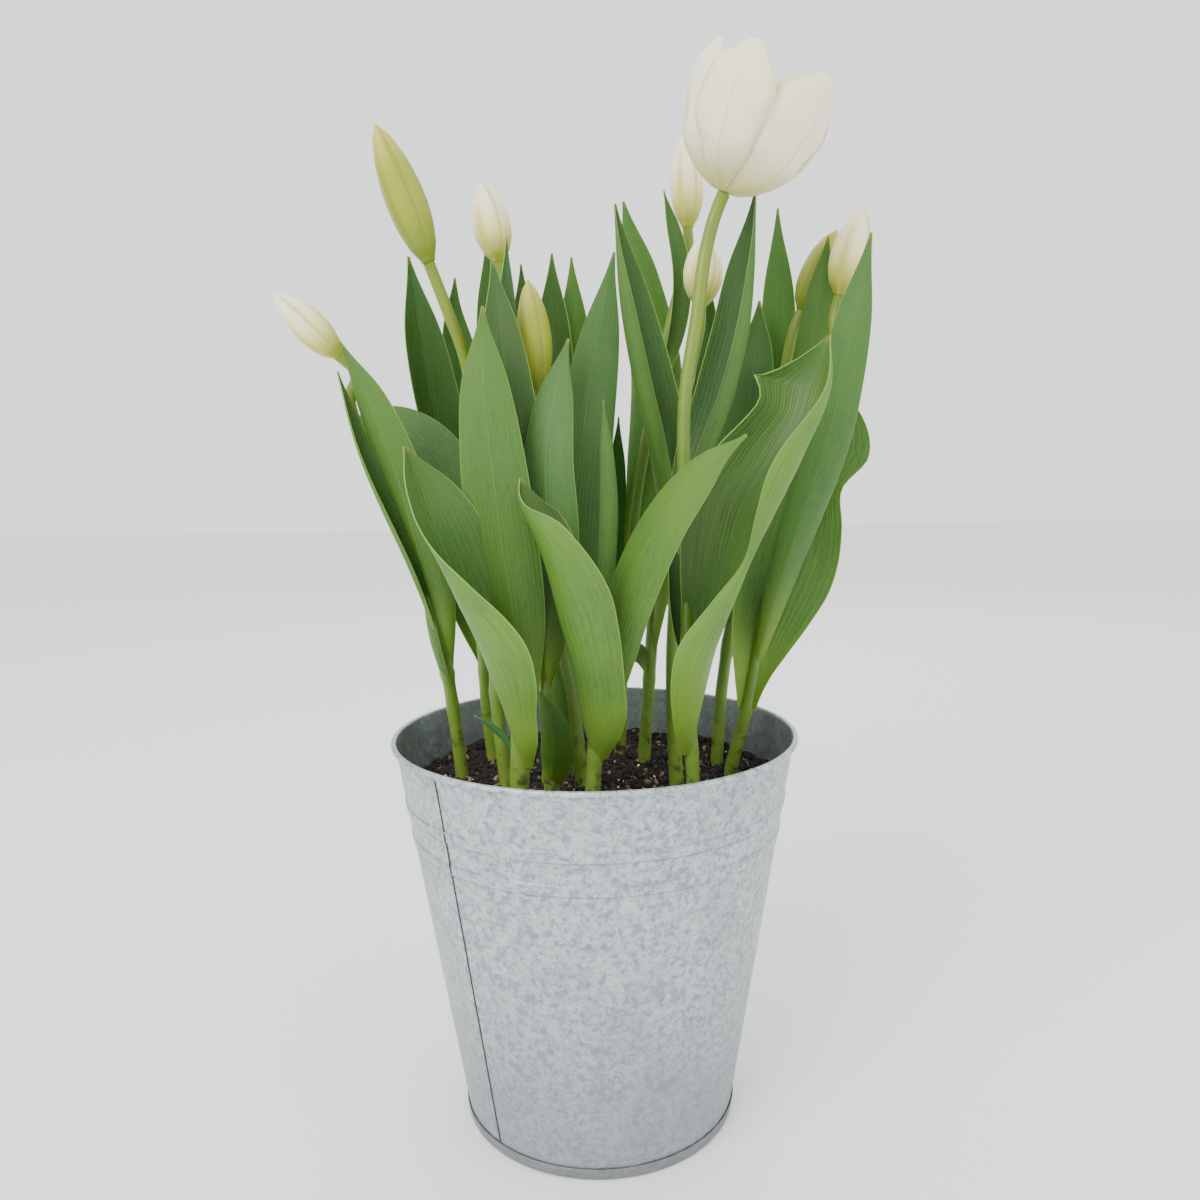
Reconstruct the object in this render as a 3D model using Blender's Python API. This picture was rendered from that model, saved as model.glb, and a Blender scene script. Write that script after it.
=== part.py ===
# Potted tulips in a tapered galvanised bucket: one open bloom and eight closed buds on thirteen
# leafy stems, each grown from its own bulb in the soil. The origin is on the bucket's axis, on the
# surface that it stands on, and the photographed front faces -Y.
# Every length is in millimetres and every angle in degrees until a mesh is made.

import math

import bmesh
import bpy
from mathutils import Matrix, Vector

MM = 0.001
GAP = 0.3

RIM_DIAMETER = 230.0
FOOT_DIAMETER = 154.4
BUCKET_HEIGHT = 223.0
SHEET = 0.8
BEAD_RADIUS = 1.6
RING_HEIGHTS = (170.0, 188.0)
RING_WIDTH = 6.0
RING_RISE = 0.5
SEAM_AZIMUTH = -137.0
SEAM_WIDTH = 6.0
FOOT_BAND = 6.5
BUCKET_SIDES = 40

SOIL_TOP = 192.0
SOIL_RINGS = 5
STEM_SIDES = 6  # of the bulbs too
STEM_STEPS = 10
ROOT_TOP = 196.0
BULB_TOP = 140.0
BULB_HEIGHT = 30.0
BULB_RADIUS = 11.0
BUD_SIDES = 9

LEAF_THICKNESS = 0.8
TIGHTEST_FOLD = 1.2
LEAF_STEPS = 8
LEAF_STRIPS = 4
PETAL_STEPS = 6
PETAL_STRIPS = 4

# Half widths along a blade, as shares of its widest half, from where it leaves the stem to its tip
LANCE = (0.22, 0.62, 0.92, 1.0, 0.92, 0.66, 0.04)
BROAD_TOP = (0.25, 0.6, 0.85, 1.0, 1.05, 0.95, 0.04)
PETAL = (0.2, 0.5, 0.74, 0.88, 0.97, 1.0, 0.97, 0.8, 0.25)

# The open bloom's foot and the middle of its mouth
BLOOM_BASE = (68, -44, 505)
BLOOM_TOP = (91, -54, 562)

# Height and half width along a closed bud and a bulb, as shares of their length and radius
BUD_PROFILE = ((0.0, 0.34), (0.12, 0.7), (0.3, 0.96), (0.5, 1.0), (0.72, 0.82), (0.9, 0.46), (1.0, 0.12))
BULB_PROFILE = ((0.0, 0.4), (0.15, 0.85), (0.4, 1.0), (0.7, 0.7), (1.0, 0.3))


for old in list(bpy.data.objects):
    bpy.data.objects.remove(old)


def finish(name, colour, roughness, metallic=0.0):
    material = bpy.data.materials.new(name)
    material.use_nodes = True
    shader = material.node_tree.nodes["Principled BSDF"]
    shader.inputs["Base Color"].default_value = (*colour, 1.0)
    shader.inputs["Roughness"].default_value = roughness
    shader.inputs["Metallic"].default_value = metallic
    return material


ZINC = finish("galvanised_steel", (0.56, 0.60, 0.61), 0.45, 0.8)
SOIL = finish("potting_soil", (0.02, 0.014, 0.011), 0.95)
LEAF = finish("tulip_leaf", (0.16, 0.30, 0.09), 0.5)
BUD_CREAM = finish("cream_bud", (0.80, 0.77, 0.60), 0.5)
BUD_GREEN = finish("green_bud", (0.45, 0.48, 0.13), 0.5)
PETAL_WHITE = finish("cream_petal", (0.82, 0.79, 0.68), 0.45)
PISTIL = finish("pistil", (0.42, 0.47, 0.12), 0.5)
BULB = finish("bulb_skin", (0.28, 0.13, 0.05), 0.6)


def solid(name, points, faces, material=None):
    """One object from points in millimetres, with its faces turned outwards."""
    mesh = bpy.data.meshes.new(name)
    mesh.from_pydata([tuple(Vector(point) * MM) for point in points], [], faces)
    shell = bmesh.new()
    shell.from_mesh(mesh)
    bmesh.ops.recalc_face_normals(shell, faces=shell.faces)
    shell.to_mesh(mesh)
    shell.free()
    piece = bpy.data.objects.new(name, mesh)
    bpy.context.scene.collection.objects.link(piece)
    if material:
        mesh.materials.append(material)
    return piece


def baked(piece):
    """The piece's mesh as its modifiers leave it, with the modifiers gone."""
    graph = bpy.context.evaluated_depsgraph_get()
    mesh = bpy.data.meshes.new_from_object(piece.evaluated_get(graph))
    piece.modifiers.clear()
    piece.data = mesh


def joined(piece, others, operation="UNION", solver="EXACT"):
    """The piece with all the others joined to it, or cut from it, in one Boolean."""
    group = bpy.data.collections.new("joined")
    bpy.context.scene.collection.children.link(group)
    for other in others:
        bpy.context.scene.collection.objects.unlink(other)
        group.objects.link(other)
    boolean = piece.modifiers.new("join", "BOOLEAN")
    boolean.operation = operation
    boolean.operand_type = "COLLECTION"
    boolean.collection = group
    boolean.solver = solver
    baked(piece)
    for other in others:
        bpy.data.objects.remove(other)
    bpy.data.collections.remove(group)


def band(rows, sides):
    """Quads between rows of points that each go once round."""
    faces = []
    for row in range(rows - 1):
        for side in range(sides):
            a = row * sides + side
            b = row * sides + (side + 1) % sides
            faces.append((a, b, b + sides, a + sides))
    return faces


def turned(name, profile, sides, material=None, centre=(0.0, 0.0), closed=False):
    """A profile of (radius, height) points turned round an upright axis, with flat ends or as a ring."""
    points = []
    for radius, height in profile:
        for side in range(sides):
            angle = math.tau * side / sides
            x = centre[0] + radius * math.cos(angle)
            y = centre[1] + radius * math.sin(angle)
            points.append((x, y, height))
    rows = len(profile)
    faces = band(rows, sides)
    last = (rows - 1) * sides
    if closed:
        for side in range(sides):
            beside = (side + 1) % sides
            faces.append((last + side, last + beside, beside, side))
    else:
        faces.append(tuple(range(sides)))
        faces.append(tuple(range(last, last + sides)))
    return solid(name, points, faces, material)


def smooth(values, share):
    """A smooth curve through evenly spaced values, read at a share of its length."""
    last = len(values) - 1
    place = min(max(share, 0.0), 1.0) * last
    start = min(int(place), last - 1)
    u = place - start
    a = values[max(start - 1, 0)]
    b = values[start]
    c = values[start + 1]
    d = values[min(start + 2, last)]
    bend = (2 * a - 5 * b + 4 * c - d) * u * u + (3 * b - a - 3 * c + d) * u ** 3
    return 0.5 * (2 * b + (c - a) * u + bend)


def along(route, share):
    """A smooth curve through the route's points, read at a share of its length."""
    places = [0.0]
    for start, end in zip(route, route[1:]):
        places.append(places[-1] + (end - start).length)
    reach = min(max(share, 0.0), 1.0) * places[-1]
    last = len(route) - 1
    leg = max(index for index in range(last) if places[index] <= reach + 1e-9)

    def heading(index):
        before = max(index - 1, 0)
        after = min(index + 1, last)
        return (route[after] - route[before]) / (places[after] - places[before])

    span = places[leg + 1] - places[leg]
    u = (reach - places[leg]) / span
    start_pull = heading(leg) * span
    end_pull = heading(leg + 1) * span
    point = route[leg] * (2 * u ** 3 - 3 * u * u + 1) + start_pull * (u ** 3 - 2 * u * u + u)
    return point + route[leg + 1] * (3 * u * u - 2 * u ** 3) + end_pull * (u ** 3 - u * u)


def blade(route, half, inner, fold, ripple=0.0, waves=2.0, outline=LANCE,
          steps=LEAF_STEPS, strips=LEAF_STRIPS):
    """A leaf or petal: a thin channelled blade bent along its midrib.

    route: points of the midrib; half: widest half on the left and right of the midrib, or a side's own
    half widths from base to tip;
    inner: which way the inner face looks, round the compass, from base to tip;
    fold: how far each half has turned in at its margin, from base to tip;
    ripple: how far the margin waves in and out, waves times along the blade."""
    route = [Vector(point) for point in route]
    left_half, right_half = [side if isinstance(side, tuple) else [side * share for share in outline]
                             for side in half]
    left_fold, right_fold = fold if isinstance(fold[0], tuple) else (fold, fold)
    grid = []
    for step in range(steps + 1):
        share = step / steps
        heading = (along(route, share + 0.01) - along(route, share - 0.01)).normalized()
        azimuth = math.radians(smooth(inner, share))
        facing = Vector((math.cos(azimuth), math.sin(azimuth), 0.0))
        facing = (facing - heading * facing.dot(heading)).normalized()
        side = heading.cross(facing)
        centre = along(route, share)
        row = []
        for strip in range(strips + 1):
            across = 2.0 * strip / strips - 1.0
            hand = 1.0 if across >= 0 else -1.0
            width = max(smooth(right_half if across >= 0 else left_half, share), LEAF_THICKNESS)
            turn = math.radians(smooth(right_fold if across >= 0 else left_fold, share))
            turn = min(turn, width / TIGHTEST_FOLD)
            angle = turn * abs(across)
            wave = math.sin(math.tau * waves * share + (1.9 if across > 0 else 0.0))
            wave *= ripple * across * across * math.sin(math.pi * min(share * 1.05, 1.0))
            out = width * math.sin(angle) / turn - wave * math.sin(angle)
            rise = width * (1.0 - math.cos(angle)) / turn + wave * math.cos(angle)
            row.append(centre + side * out * hand + facing * rise)
        grid.append(row)
    return sheet(grid)


def sheet(grid):
    """A closed sheet of the leaf's thickness on a grid of points, split alike on both faces."""
    steps = len(grid) - 1
    strips = len(grid[0]) - 1
    outer = []
    inner = []
    for step in range(steps + 1):
        for strip in range(strips + 1):
            ahead = grid[min(step + 1, steps)][strip] - grid[max(step - 1, 0)][strip]
            beside = grid[step][min(strip + 1, strips)] - grid[step][max(strip - 1, 0)]
            lift = ahead.cross(beside).normalized() * (LEAF_THICKNESS / 2)
            outer.append(grid[step][strip] + lift)
            inner.append(grid[step][strip] - lift)
    under = len(outer)
    row = strips + 1
    faces = []
    for step in range(steps):
        for strip in range(strips):
            a = step * row + strip
            b = a + 1
            c = b + row
            d = a + row
            faces += [(a, b, c), (a, c, d)]
            faces += [(a + under, c + under, b + under), (a + under, d + under, c + under)]
    rim = [strip for strip in range(row)]
    rim += [step * row + strips for step in range(1, steps + 1)]
    rim += [steps * row + strip for strip in range(strips - 1, -1, -1)]
    rim += [step * row for step in range(steps - 1, 0, -1)]
    for here, there in zip(rim, rim[1:] + rim[:1]):
        faces += [(here, here + under, there + under), (here, there + under, there)]
    return solid("blade", outer + inner, faces)


def ringed(name, centres, headings, radii, sides, material=None, lobes=0.0):
    """A round solid along a line of centres; lobes raise three soft ribs on it."""
    points = []
    across = Vector((1.0, 0.0, 0.0))
    for centre, heading, radius in zip(centres, headings, radii):
        across = (across - heading * across.dot(heading)).normalized()
        beside = heading.cross(across)
        for side in range(sides):
            angle = math.tau * side / sides
            reach = radius * (1.0 + lobes * math.cos(3.0 * angle))
            points.append(centre + across * (reach * math.cos(angle)) + beside * (reach * math.sin(angle)))
    rows = len(centres)
    faces = band(rows, sides)
    faces.append(tuple(range(sides)))
    faces.append(tuple(range((rows - 1) * sides, rows * sides)))
    return solid(name, points, faces, material)


def stalk(name, root, route, radii, end=None):
    """A stem from the top of its bulb, upright to the soil's surface and then along its route."""
    upright = Vector((0.0, 0.0, 1.0))
    foot = Vector((root[0], root[1], BULB_TOP))
    line = [Vector((root[0], root[1], ROOT_TOP))] + [Vector(point) for point in route]
    centres = [foot] + [along(line, step / STEM_STEPS) for step in range(STEM_STEPS + 1)]
    headings = [upright, upright]
    for step in range(1, STEM_STEPS):
        ahead = along(line, (step + 0.5) / STEM_STEPS)
        headings.append((ahead - along(line, (step - 0.5) / STEM_STEPS)).normalized())
    headings.append(end or (line[-1] - line[-2]).normalized())
    thinning = (radii[1] - radii[0]) / STEM_STEPS
    widths = [radii[0]] + [radii[0] + thinning * step for step in range(STEM_STEPS + 1)]
    return ringed(name, centres, headings, widths, STEM_SIDES, LEAF)


def bud(name, base, tip, radius, material):
    """A closed flower bud, its three outer petals raised as soft ribs."""
    length = (tip - base).length
    heading = (tip - base) / length
    centres = [base + heading * (GAP + (length - GAP) * share) for share, _ in BUD_PROFILE]
    radii = [radius * width for _, width in BUD_PROFILE]
    return ringed(name, centres, [heading] * len(centres), radii, BUD_SIDES, material, lobes=0.06)


ROOTS = []


def tulip(number, root, stem, leaves, radii=(3.8, 3.0), flower=None):
    """One plant: its stem and leaves fused in one node, and its bud in another where it has one.

    flower: the bud's base, its tip, its radius and its material."""
    route = [Vector(point) for point in stem]
    end = None
    if flower:
        base, tip = Vector(flower[0]), Vector(flower[1])
        end = (tip - base).normalized()
        route += [base - end * 12.0, base]
    ROOTS.append((number, root, radii[0]))
    piece = stalk(f"stem_{number:02d}", root, route, radii, end)
    joined(piece, leaves)
    piece.data.materials.clear()
    piece.data.materials.append(LEAF)
    if flower and flower[2]:
        bud(f"bud_{number:02d}", base, tip, flower[2], flower[3])
    return piece


# Far left plant: its bud leans well out over the rim
tulip(1, root=(-78, 7),
      stem=[(-82, 3, 242), (-86, -5, 277), (-93, -12, 309), (-106, -20, 345), (-117, -28, 383),
            (-124, -34, 408)],
      flower=((-127, -38, 430), (-155, -50, 460), 8.2, BUD_CREAM),
      leaves=[
          blade([(-83, 1, 257), (-86, -12, 292), (-92, -24, 327), (-97, -36, 357), (-103, -44, 382),
                 (-111, -48, 407), (-124, -48, 436)],
                half=(16, 17), inner=(60, 60, 50), fold=(90, 60, 30, 20)),
          blade([(-84, -1, 258), (-90, -11, 290), (-98, -21, 320), (-109, -29, 351), (-119, -37, 383),
                 (-127, -44, 422)],
                half=(8, 8), inner=(-30, -30, -30), fold=(110, 100, 60)),
          blade([(-82, 4, 237), (-86, 2, 253), (-91, -6, 277), (-93, -14, 305)],
                half=(9, 8), inner=(0, 20), fold=(80, 60), steps=6, strips=2),
      ])

# Back left plant, still without a bud
tulip(2, root=(-64, 47),
      stem=[(-67, 46, 230), (-68, 42, 293), (-70, 40, 342)],
      leaves=[
          blade([(-68, 45, 262), (-72, 52, 317), (-74, 58, 372), (-77, 58, 426), (-80, 54, 461),
                 (-78, 48, 484)],
                half=(15, 15), inner=(-60, -70), fold=(70, 40, 20)),
          blade([(-68, 44, 268), (-57, 62, 316), (-46, 76, 371), (-38, 84, 415), (-31, 88, 453)],
                half=(18, 18), inner=(200, 220), fold=(70, 40, 20)),
          blade([(-67, 46, 249), (-81, 62, 291), (-90, 76, 341), (-96, 84, 385)],
                half=(17, 17), inner=(-60, -60), fold=(70, 40, 20)),
      ])

# Left plant with the tall ribbed bud
tulip(3, root=(-51, -8),
      stem=[(-55, -8, 243), (-54, -12, 300), (-58, -18, 382), (-65, -22, 429), (-73, -26, 454)],
      flower=((-81, -30, 477), (-102, -48, 539), 9.6, BUD_GREEN),
      radii=(4.0, 3.0),
      leaves=[
          blade([(-55, -8, 248), (-64, 2, 298), (-75, 10, 344), (-85, 14, 389), (-92, 10, 438),
                 (-97, 2, 487)],
                half=(18, 18), inner=(-10, -40, -60), fold=(90, 60, 45, 30)),
          blade([(-54, -9, 266), (-57, -16, 301), (-65, -18, 334), (-74, -14, 361), (-89, -6, 384),
                 (-111, 4, 398), (-136, 12, 401)],
                half=(17, 19), inner=(90, 90, 90, 80), fold=(60, 30, 15, 10, 10), ripple=1.5),
          blade([(-54, -12, 300), (-53, 4, 343), (-52, 14, 399), (-53, 14, 449), (-55, 8, 497)],
                half=(12, 12), inner=(-120, -100), fold=(70, 40, 20)),
      ])

# Front left plant: the big upright leaf and the folded leaf beside it
tulip(4, root=(-40, -60),
      stem=[(-38, -61, 255), (-43, -50, 305), (-46, -38, 345), (-46, -28, 387), (-46, -18, 434)],
      flower=((-47, -10, 481), (-55, -14, 521), 9.4, BUD_CREAM),
      radii=(5, 3),
      leaves=[
          blade([(-37, -62, 233), (-37, -66, 261), (-39, -72, 298), (-44, -74, 337), (-48, -74, 376),
                 (-51, -70, 414), (-51, -62, 450)],
                half=(18, 18), inner=(75, 80, 80), fold=(60, 35, 25, 20)),
          blade([(-38, -61, 221), (-44, -72, 250), (-52, -82, 280), (-63, -86, 310), (-74, -86, 339),
                 (-82, -82, 362), (-89, -75, 383)],
                half=((9, 17, 22, 30, 35, 32, 24, 16, 12, 8, 1),
                      (8, 16, 22, 26, 29, 30, 30, 29, 25, 16, 1)),
                inner=(15, 10, 0, -15, -30, -35),
                fold=((80, 100, 105, 80, 20, 15), (60, 70, 75, 70, 60, 50))),
          blade([(-39, -60, 214), (-44, -59, 230), (-52, -60, 240), (-61, -62, 247)],
                half=(2.5, 2.5), inner=(60, 60), fold=(60, 40), steps=5, strips=2),
          blade([(-43, -50, 305), (-43, -42, 346), (-44, -37, 392), (-43, -33, 438), (-41, -30, 489)],
                half=(8, 8), inner=(-60, -50), fold=(70, 50, 30)),
      ])

# Plant of the small green bud among the leaves
tulip(5, root=(-24, -28),
      stem=[(-26, -28, 247), (-27, -26, 301), (-28, -24, 355), (-28, -22, 387)],
      flower=((-27, -20, 413), (-31, -24, 469), 8.6, BUD_GREEN),
      radii=(4.0, 3.2),
      leaves=[
          blade([(-26, -29, 199), (-22, -38, 215), (-22, -43, 236), (-29, -42, 255)],
                half=((7, 11, 11, 9, 5, 1), (6, 9, 10, 9, 6, 1)), inner=(80, 80), fold=(60, 40),
                steps=6, strips=2),
          blade([(-26, -28, 247), (-26, -40, 303), (-31, -51, 346), (-39, -50, 396), (-44, -44, 441),
                 (-48, -38, 477)],
                half=(15, 15), inner=(-70, -80, -80), fold=(60, 40, 30)),
          blade([(-27, -28, 252), (-21, -50, 304), (-21, -62, 341), (-22, -62, 376), (-17, -54, 410),
                 (-10, -46, 436)],
                half=(15, 15), inner=(60, 70, 80), fold=(70, 40, 25)),
          blade([(-28, -26, 312), (-30, -8, 355), (-33, 0, 409), (-35, 2, 447), (-36, 2, 482)],
                half=(10, 10), inner=(-90, -90), fold=(60, 40)),
      ])

# Middle plant, leaves only
tulip(6, root=(-8, -14),
      stem=[(-12, -14, 243), (-18, -14, 277), (-22, -14, 322)],
      leaves=[
          blade([(-10, -14, 209), (-15, -12, 243), (-23, -10, 277), (-34, -6, 311)],
                half=(13, 13), inner=(120, 110), fold=(60, 40)),
          blade([(-12, -14, 220), (-10, -12, 277), (-10, -8, 332), (-5, 0, 382), (3, 6, 431),
                 (15, 8, 489)],
                half=(18, 18), inner=(80, 75, 70), fold=(60, 35, 25)),
          blade([(-18, -14, 277), (-19, 14, 331), (-20, 26, 382), (-20, 30, 440), (-20, 28, 493)],
                half=(15, 15), inner=(-90, -90), fold=(60, 45)),
          blade([(-20, -14, 300), (-15, 22, 342), (-10, 36, 394), (-8, 38, 446), (-9, 34, 492)],
                half=(13, 13), inner=(100, 100), fold=(60, 40)),
      ])

# Front middle plant: the folded leaf and the one that leans right
tulip(7, root=(-2, -55),
      stem=[(2, -56, 253), (6, -56, 295), (7, -54, 335)],
      radii=(4.2, 3.0),
      leaves=[
          blade([(-1, -55, 223), (-5, -70, 251), (-10, -86, 285), (-17, -94, 312), (-24, -96, 335),
                 (-31, -92, 352), (-33, -86, 367)],
                half=((9, 18, 24, 25, 26, 28, 30, 29, 24, 10, 1),
                      (9, 18, 24, 27, 29, 30, 31, 30, 27, 20, 1)),
                inner=(30, 35, 35, 25, -5, -40),
                fold=((80, 85, 90, 95, 90, 20), (60, 70, 75, 80, 70, 40))),
          blade([(1, -55, 234), (6, -66, 260), (14, -78, 303), (30, -90, 342), (51, -102, 370),
                 (70, -110, 385)],
                half=(15, 15), inner=(60, 50, 40), fold=(60, 40, 30)),
          blade([(4, -56, 279), (7, -58, 315), (9, -56, 355), (7, -50, 405)],
                half=(5, 5), inner=(90, 90), fold=(50, 40), strips=2),
      ])

# Back middle plant, its bud behind the bloom
tulip(8, root=(16, 56),
      stem=[(20, 56, 290), (30, 56, 364), (43, 56, 430), (53, 56, 471)],
      flower=((60, 56, 512), (58, 56, 566), 9.2, BUD_CREAM),
      leaves=[
          blade([(16, 56, 227), (13, 62, 289), (13, 66, 339), (18, 66, 403)],
                half=(10, 10), inner=(-60, -60), fold=(50, 40)),
          blade([(22, 56, 303), (34, 62, 364), (41, 66, 425), (32, 62, 478), (22, 56, 528)],
                half=(18, 18), inner=(80, 80), fold=(60, 40)),
          blade([(40, 56, 412), (53, 50, 453), (55, 44, 486), (45, 42, 530)],
                half=(6, 6), inner=(-90, -90), fold=(60, 40), steps=6, strips=2),
          blade([(18, 56, 265), (8, 80, 313), (0, 96, 364), (0, 104, 416)],
                half=(17, 17), inner=(-90, -90), fold=(60, 30)),
      ])

# Plant behind the bloom's stem, with a white bud
tulip(9, root=(30, 33),
      stem=[(33, 33, 238), (37, 30, 293), (45, 26, 364), (58, 22, 426)],
      flower=((64, 22, 462), (66, 24, 501), 10.5, BUD_CREAM),
      leaves=[
          blade([(34, 32, 246), (27, 24, 262), (17, 14, 264), (8, 6, 250)],
                half=(6, 6), inner=(-45, -50), fold=(20, 12), steps=6, strips=2),
          blade([(35, 32, 260), (38, 20, 300), (39, 6, 342), (33, -6, 381), (25, -12, 418),
                 (18, -14, 460), (15, -14, 509)],
                half=(16, 25), inner=(0, -10, -30, -35, -35),
                fold=((90, 120, 165, 170, 80), (60, 80, 90, 80, 40))),
          blade([(43, 28, 341), (60, 50, 388), (73, 62, 430), (70, 61, 470), (66, 51, 502)],
                half=(9, 9), inner=(-90, -90), fold=(60, 40)),
          blade([(36, 33, 281), (55, 62, 327), (70, 82, 376), (79, 92, 427)],
                half=(17, 17), inner=(-90, -90), fold=(60, 30)),
      ])

# Thin front plant, leaves only
tulip(10, root=(45, -24),
      stem=[(43, -25, 251), (45, -24, 300), (54, -10, 343), (69, 0, 392), (81, 6, 435)],
      radii=(4.0, 3.0),
      leaves=[
          blade([(45, -24, 300), (68, 0, 342), (87, 16, 392), (95, 20, 437), (97, 20, 464)],
                half=(16, 16), inner=(-100, -100), fold=(60, 30)),
      ])

# Plant of the open bloom, with the big waved leaf
tulip(11, root=(52, -52),
      stem=[(49, -54, 252), (48, -56, 304), (47, -54, 374), (48, -52, 407), (54, -50, 444),
            (58, -48, 473)],
      flower=(BLOOM_BASE, BLOOM_TOP, None, None),
      radii=(3.6, 3.3),
      leaves=[
          blade([(50, -53, 224), (55, -64, 256), (61, -74, 285), (71, -84, 315), (83, -90, 346),
                 (96, -92, 377), (110, -90, 406), (112, -86, 431)],
                half=((9, 15, 21, 28, 36, 43, 46, 39, 30, 37, 1),
                      (9, 18, 26, 29, 18, 6, 16, 27, 19, 8, 1)),
                inner=(165, 175, 190, 203, 210, 212),
                fold=((60, 70, 80, 90, 95, 70), (90, 110, 130, 130, 110, 70))),
          blade([(49, -55, 283), (53, -44, 323), (61, -34, 370), (74, -30, 406), (83, -28, 447),
                 (87, -26, 511)],
                half=(22, 14), inner=(190, 200, 215, 215),
                fold=((60, 80, 80, 40), (120, 165, 170, 80))),
          blade([(49, -55, 268), (46, -50, 282), (44, -50, 303), (42, -48, 334)],
                half=(6, 6), inner=(-90, -90), fold=(90, 60), steps=6, strips=2),
      ])

# Back right plant with a green bud
tulip(12, root=(74, 29),
      stem=[(77, 30, 238), (85, 28, 293), (97, 24, 352), (109, 20, 409)],
      flower=((120, 16, 457), (139, 16, 501), 9.5, BUD_GREEN),
      leaves=[
          blade([(79, 29, 262), (92, 36, 316), (103, 36, 381), (108, 30, 444), (107, 20, 514)],
                half=(14, 14), inner=(70, 60, 60), fold=(60, 40, 30)),
          blade([(93, 25, 326), (111, 14, 369), (120, 6, 413), (125, 2, 450), (131, 1, 494)],
                half=(14, 13), inner=(70, 60, 60), fold=(60, 40, 30)),
          blade([(80, 29, 269), (104, 56, 314), (126, 72, 363), (132, 76, 406)],
                half=(16, 16), inner=(-90, -90), fold=(60, 30)),
      ])

# Right plant, with the wide waved leaf behind it
tulip(13, root=(79, 4),
      stem=[(88, 0, 238), (96, -8, 286), (105, -14, 321), (114, -18, 357), (123, -20, 385),
            (132, -14, 438)],
      flower=((135, -10, 461), (146, -14, 505), 10.5, BUD_CREAM),
      leaves=[
          blade([(90, -1, 250), (98, -20, 293), (111, -32, 343), (122, -42, 384), (131, -48, 433),
                 (141, -48, 485)],
                half=(14, 14), inner=(80, 80, 80), fold=(90, 80, 45, 30)),
          blade([(87, 0, 234), (92, -4, 263), (101, -4, 299), (111, -4, 330), (120, -6, 362),
                 (128, -10, 396), (134, -14, 418)],
                half=((6, 12, 19, 22, 23, 22, 21, 20, 18, 12, 1),
                      (6, 10, 17, 24, 29, 29, 25, 19, 28, 21, 1)),
                inner=(-90, -95, -100), fold=(50, 20, 10), ripple=2.0, waves=1.5),
      ])


def petal(azimuth, half, belly, mouth, height):
    """One petal of the bloom, upright at the origin: its half width, how far out its belly and mouth are."""
    outward = Vector((math.cos(math.radians(azimuth)), math.sin(math.radians(azimuth)), 0.0))
    upward = Vector((0.0, 0.0, 1.0))
    profile = ((1.5, 1.5), (belly * 0.27, 3.5), (belly * 0.55, 8.5), (belly * 0.8, 18.0),
               (belly * 0.9, 28.0), (belly * 0.99, height * 0.64), (belly, height * 0.82), (mouth, height))
    route = [outward * out + upward * up for out, up in profile]
    cupped = math.degrees(half / belly) * TUCK
    return blade(route, half=(half, half), inner=(azimuth + 180, azimuth + 180),
                 fold=(110, 70, 52, cupped, cupped, cupped, cupped), outline=PETAL,
                 steps=PETAL_STEPS, strips=PETAL_STRIPS)


# The open bloom: three outer petals and, a step further in, three inner ones, on a small receptacle
RECEPTACLE_HEIGHT = 8.0
TUCK = 1.12
PETALS = (
    (-114, 19, 37.0, 31, 62),
    (-44, 29, 35.6, 36, 60),
    (34, 27, 37.2, 35, 61),
    (92, 26, 34.3, 29, 62),
    (148, 26, 36.0, 32, 61),
    (-170, 26, 34.3, 30, 62),
)
upright = Vector((0.0, 0.0, 1.0))
bloom_axis = (Vector(BLOOM_TOP) - Vector(BLOOM_BASE)).normalized()
bloom_tilt = upright.rotation_difference(bloom_axis).to_matrix().to_4x4()
bloom_frame = Matrix.Translation(Vector(BLOOM_BASE) * MM) @ bloom_tilt
bloom = turned("bloom", ((3.2, GAP), (4.6, 2.5), (4.2, RECEPTACLE_HEIGHT)), 12, PETAL_WHITE)
joined(bloom, [petal(*shape) for shape in PETALS])
bloom.data.materials.clear()
bloom.data.materials.append(PETAL_WHITE)
bloom.data.transform(bloom_frame)

# Inside the bloom: the pistil with its three-lobed top, and the six stamens round its foot
PISTIL_PROFILE = ((2.8, 0.0), (3.4, 6.0), (2.9, 16.0), (4.6, 19.0), (3.4, 21.5))
STAMEN = ((1.6, 1.5), (5.5, 9.0), (7.5, 11.0), (9.0, 19.0))
foot = RECEPTACLE_HEIGHT + GAP
pistil = turned("pistil_and_stamens", [(radius, foot + up) for radius, up in PISTIL_PROFILE], 9, PISTIL)
stamens = []
for count in range(6):
    angle = math.tau * count / 6
    outward = Vector((math.cos(angle), math.sin(angle), 0.0))
    places = [outward * out + upright * (foot + up) for out, up in STAMEN]
    stamens.append(ringed("stamen", places, [upright] * 4, (0.8, 0.7, 1.5, 1.0), 5))
joined(pistil, stamens)
pistil.data.materials.clear()
pistil.data.materials.append(PISTIL)
pistil.data.transform(bloom_frame)

# The bucket's wall: one tapered sheet with two pressed rings, its rim rolled outwards round a bead
bead_height = BUCKET_HEIGHT - BEAD_RADIUS
bead_centre = RIM_DIAMETER / 2 - BEAD_RADIUS
taper = (bead_centre - BEAD_RADIUS + SHEET - FOOT_DIAMETER / 2) / bead_height


def wall_radius(height):
    return FOOT_DIAMETER / 2 + taper * height


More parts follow.
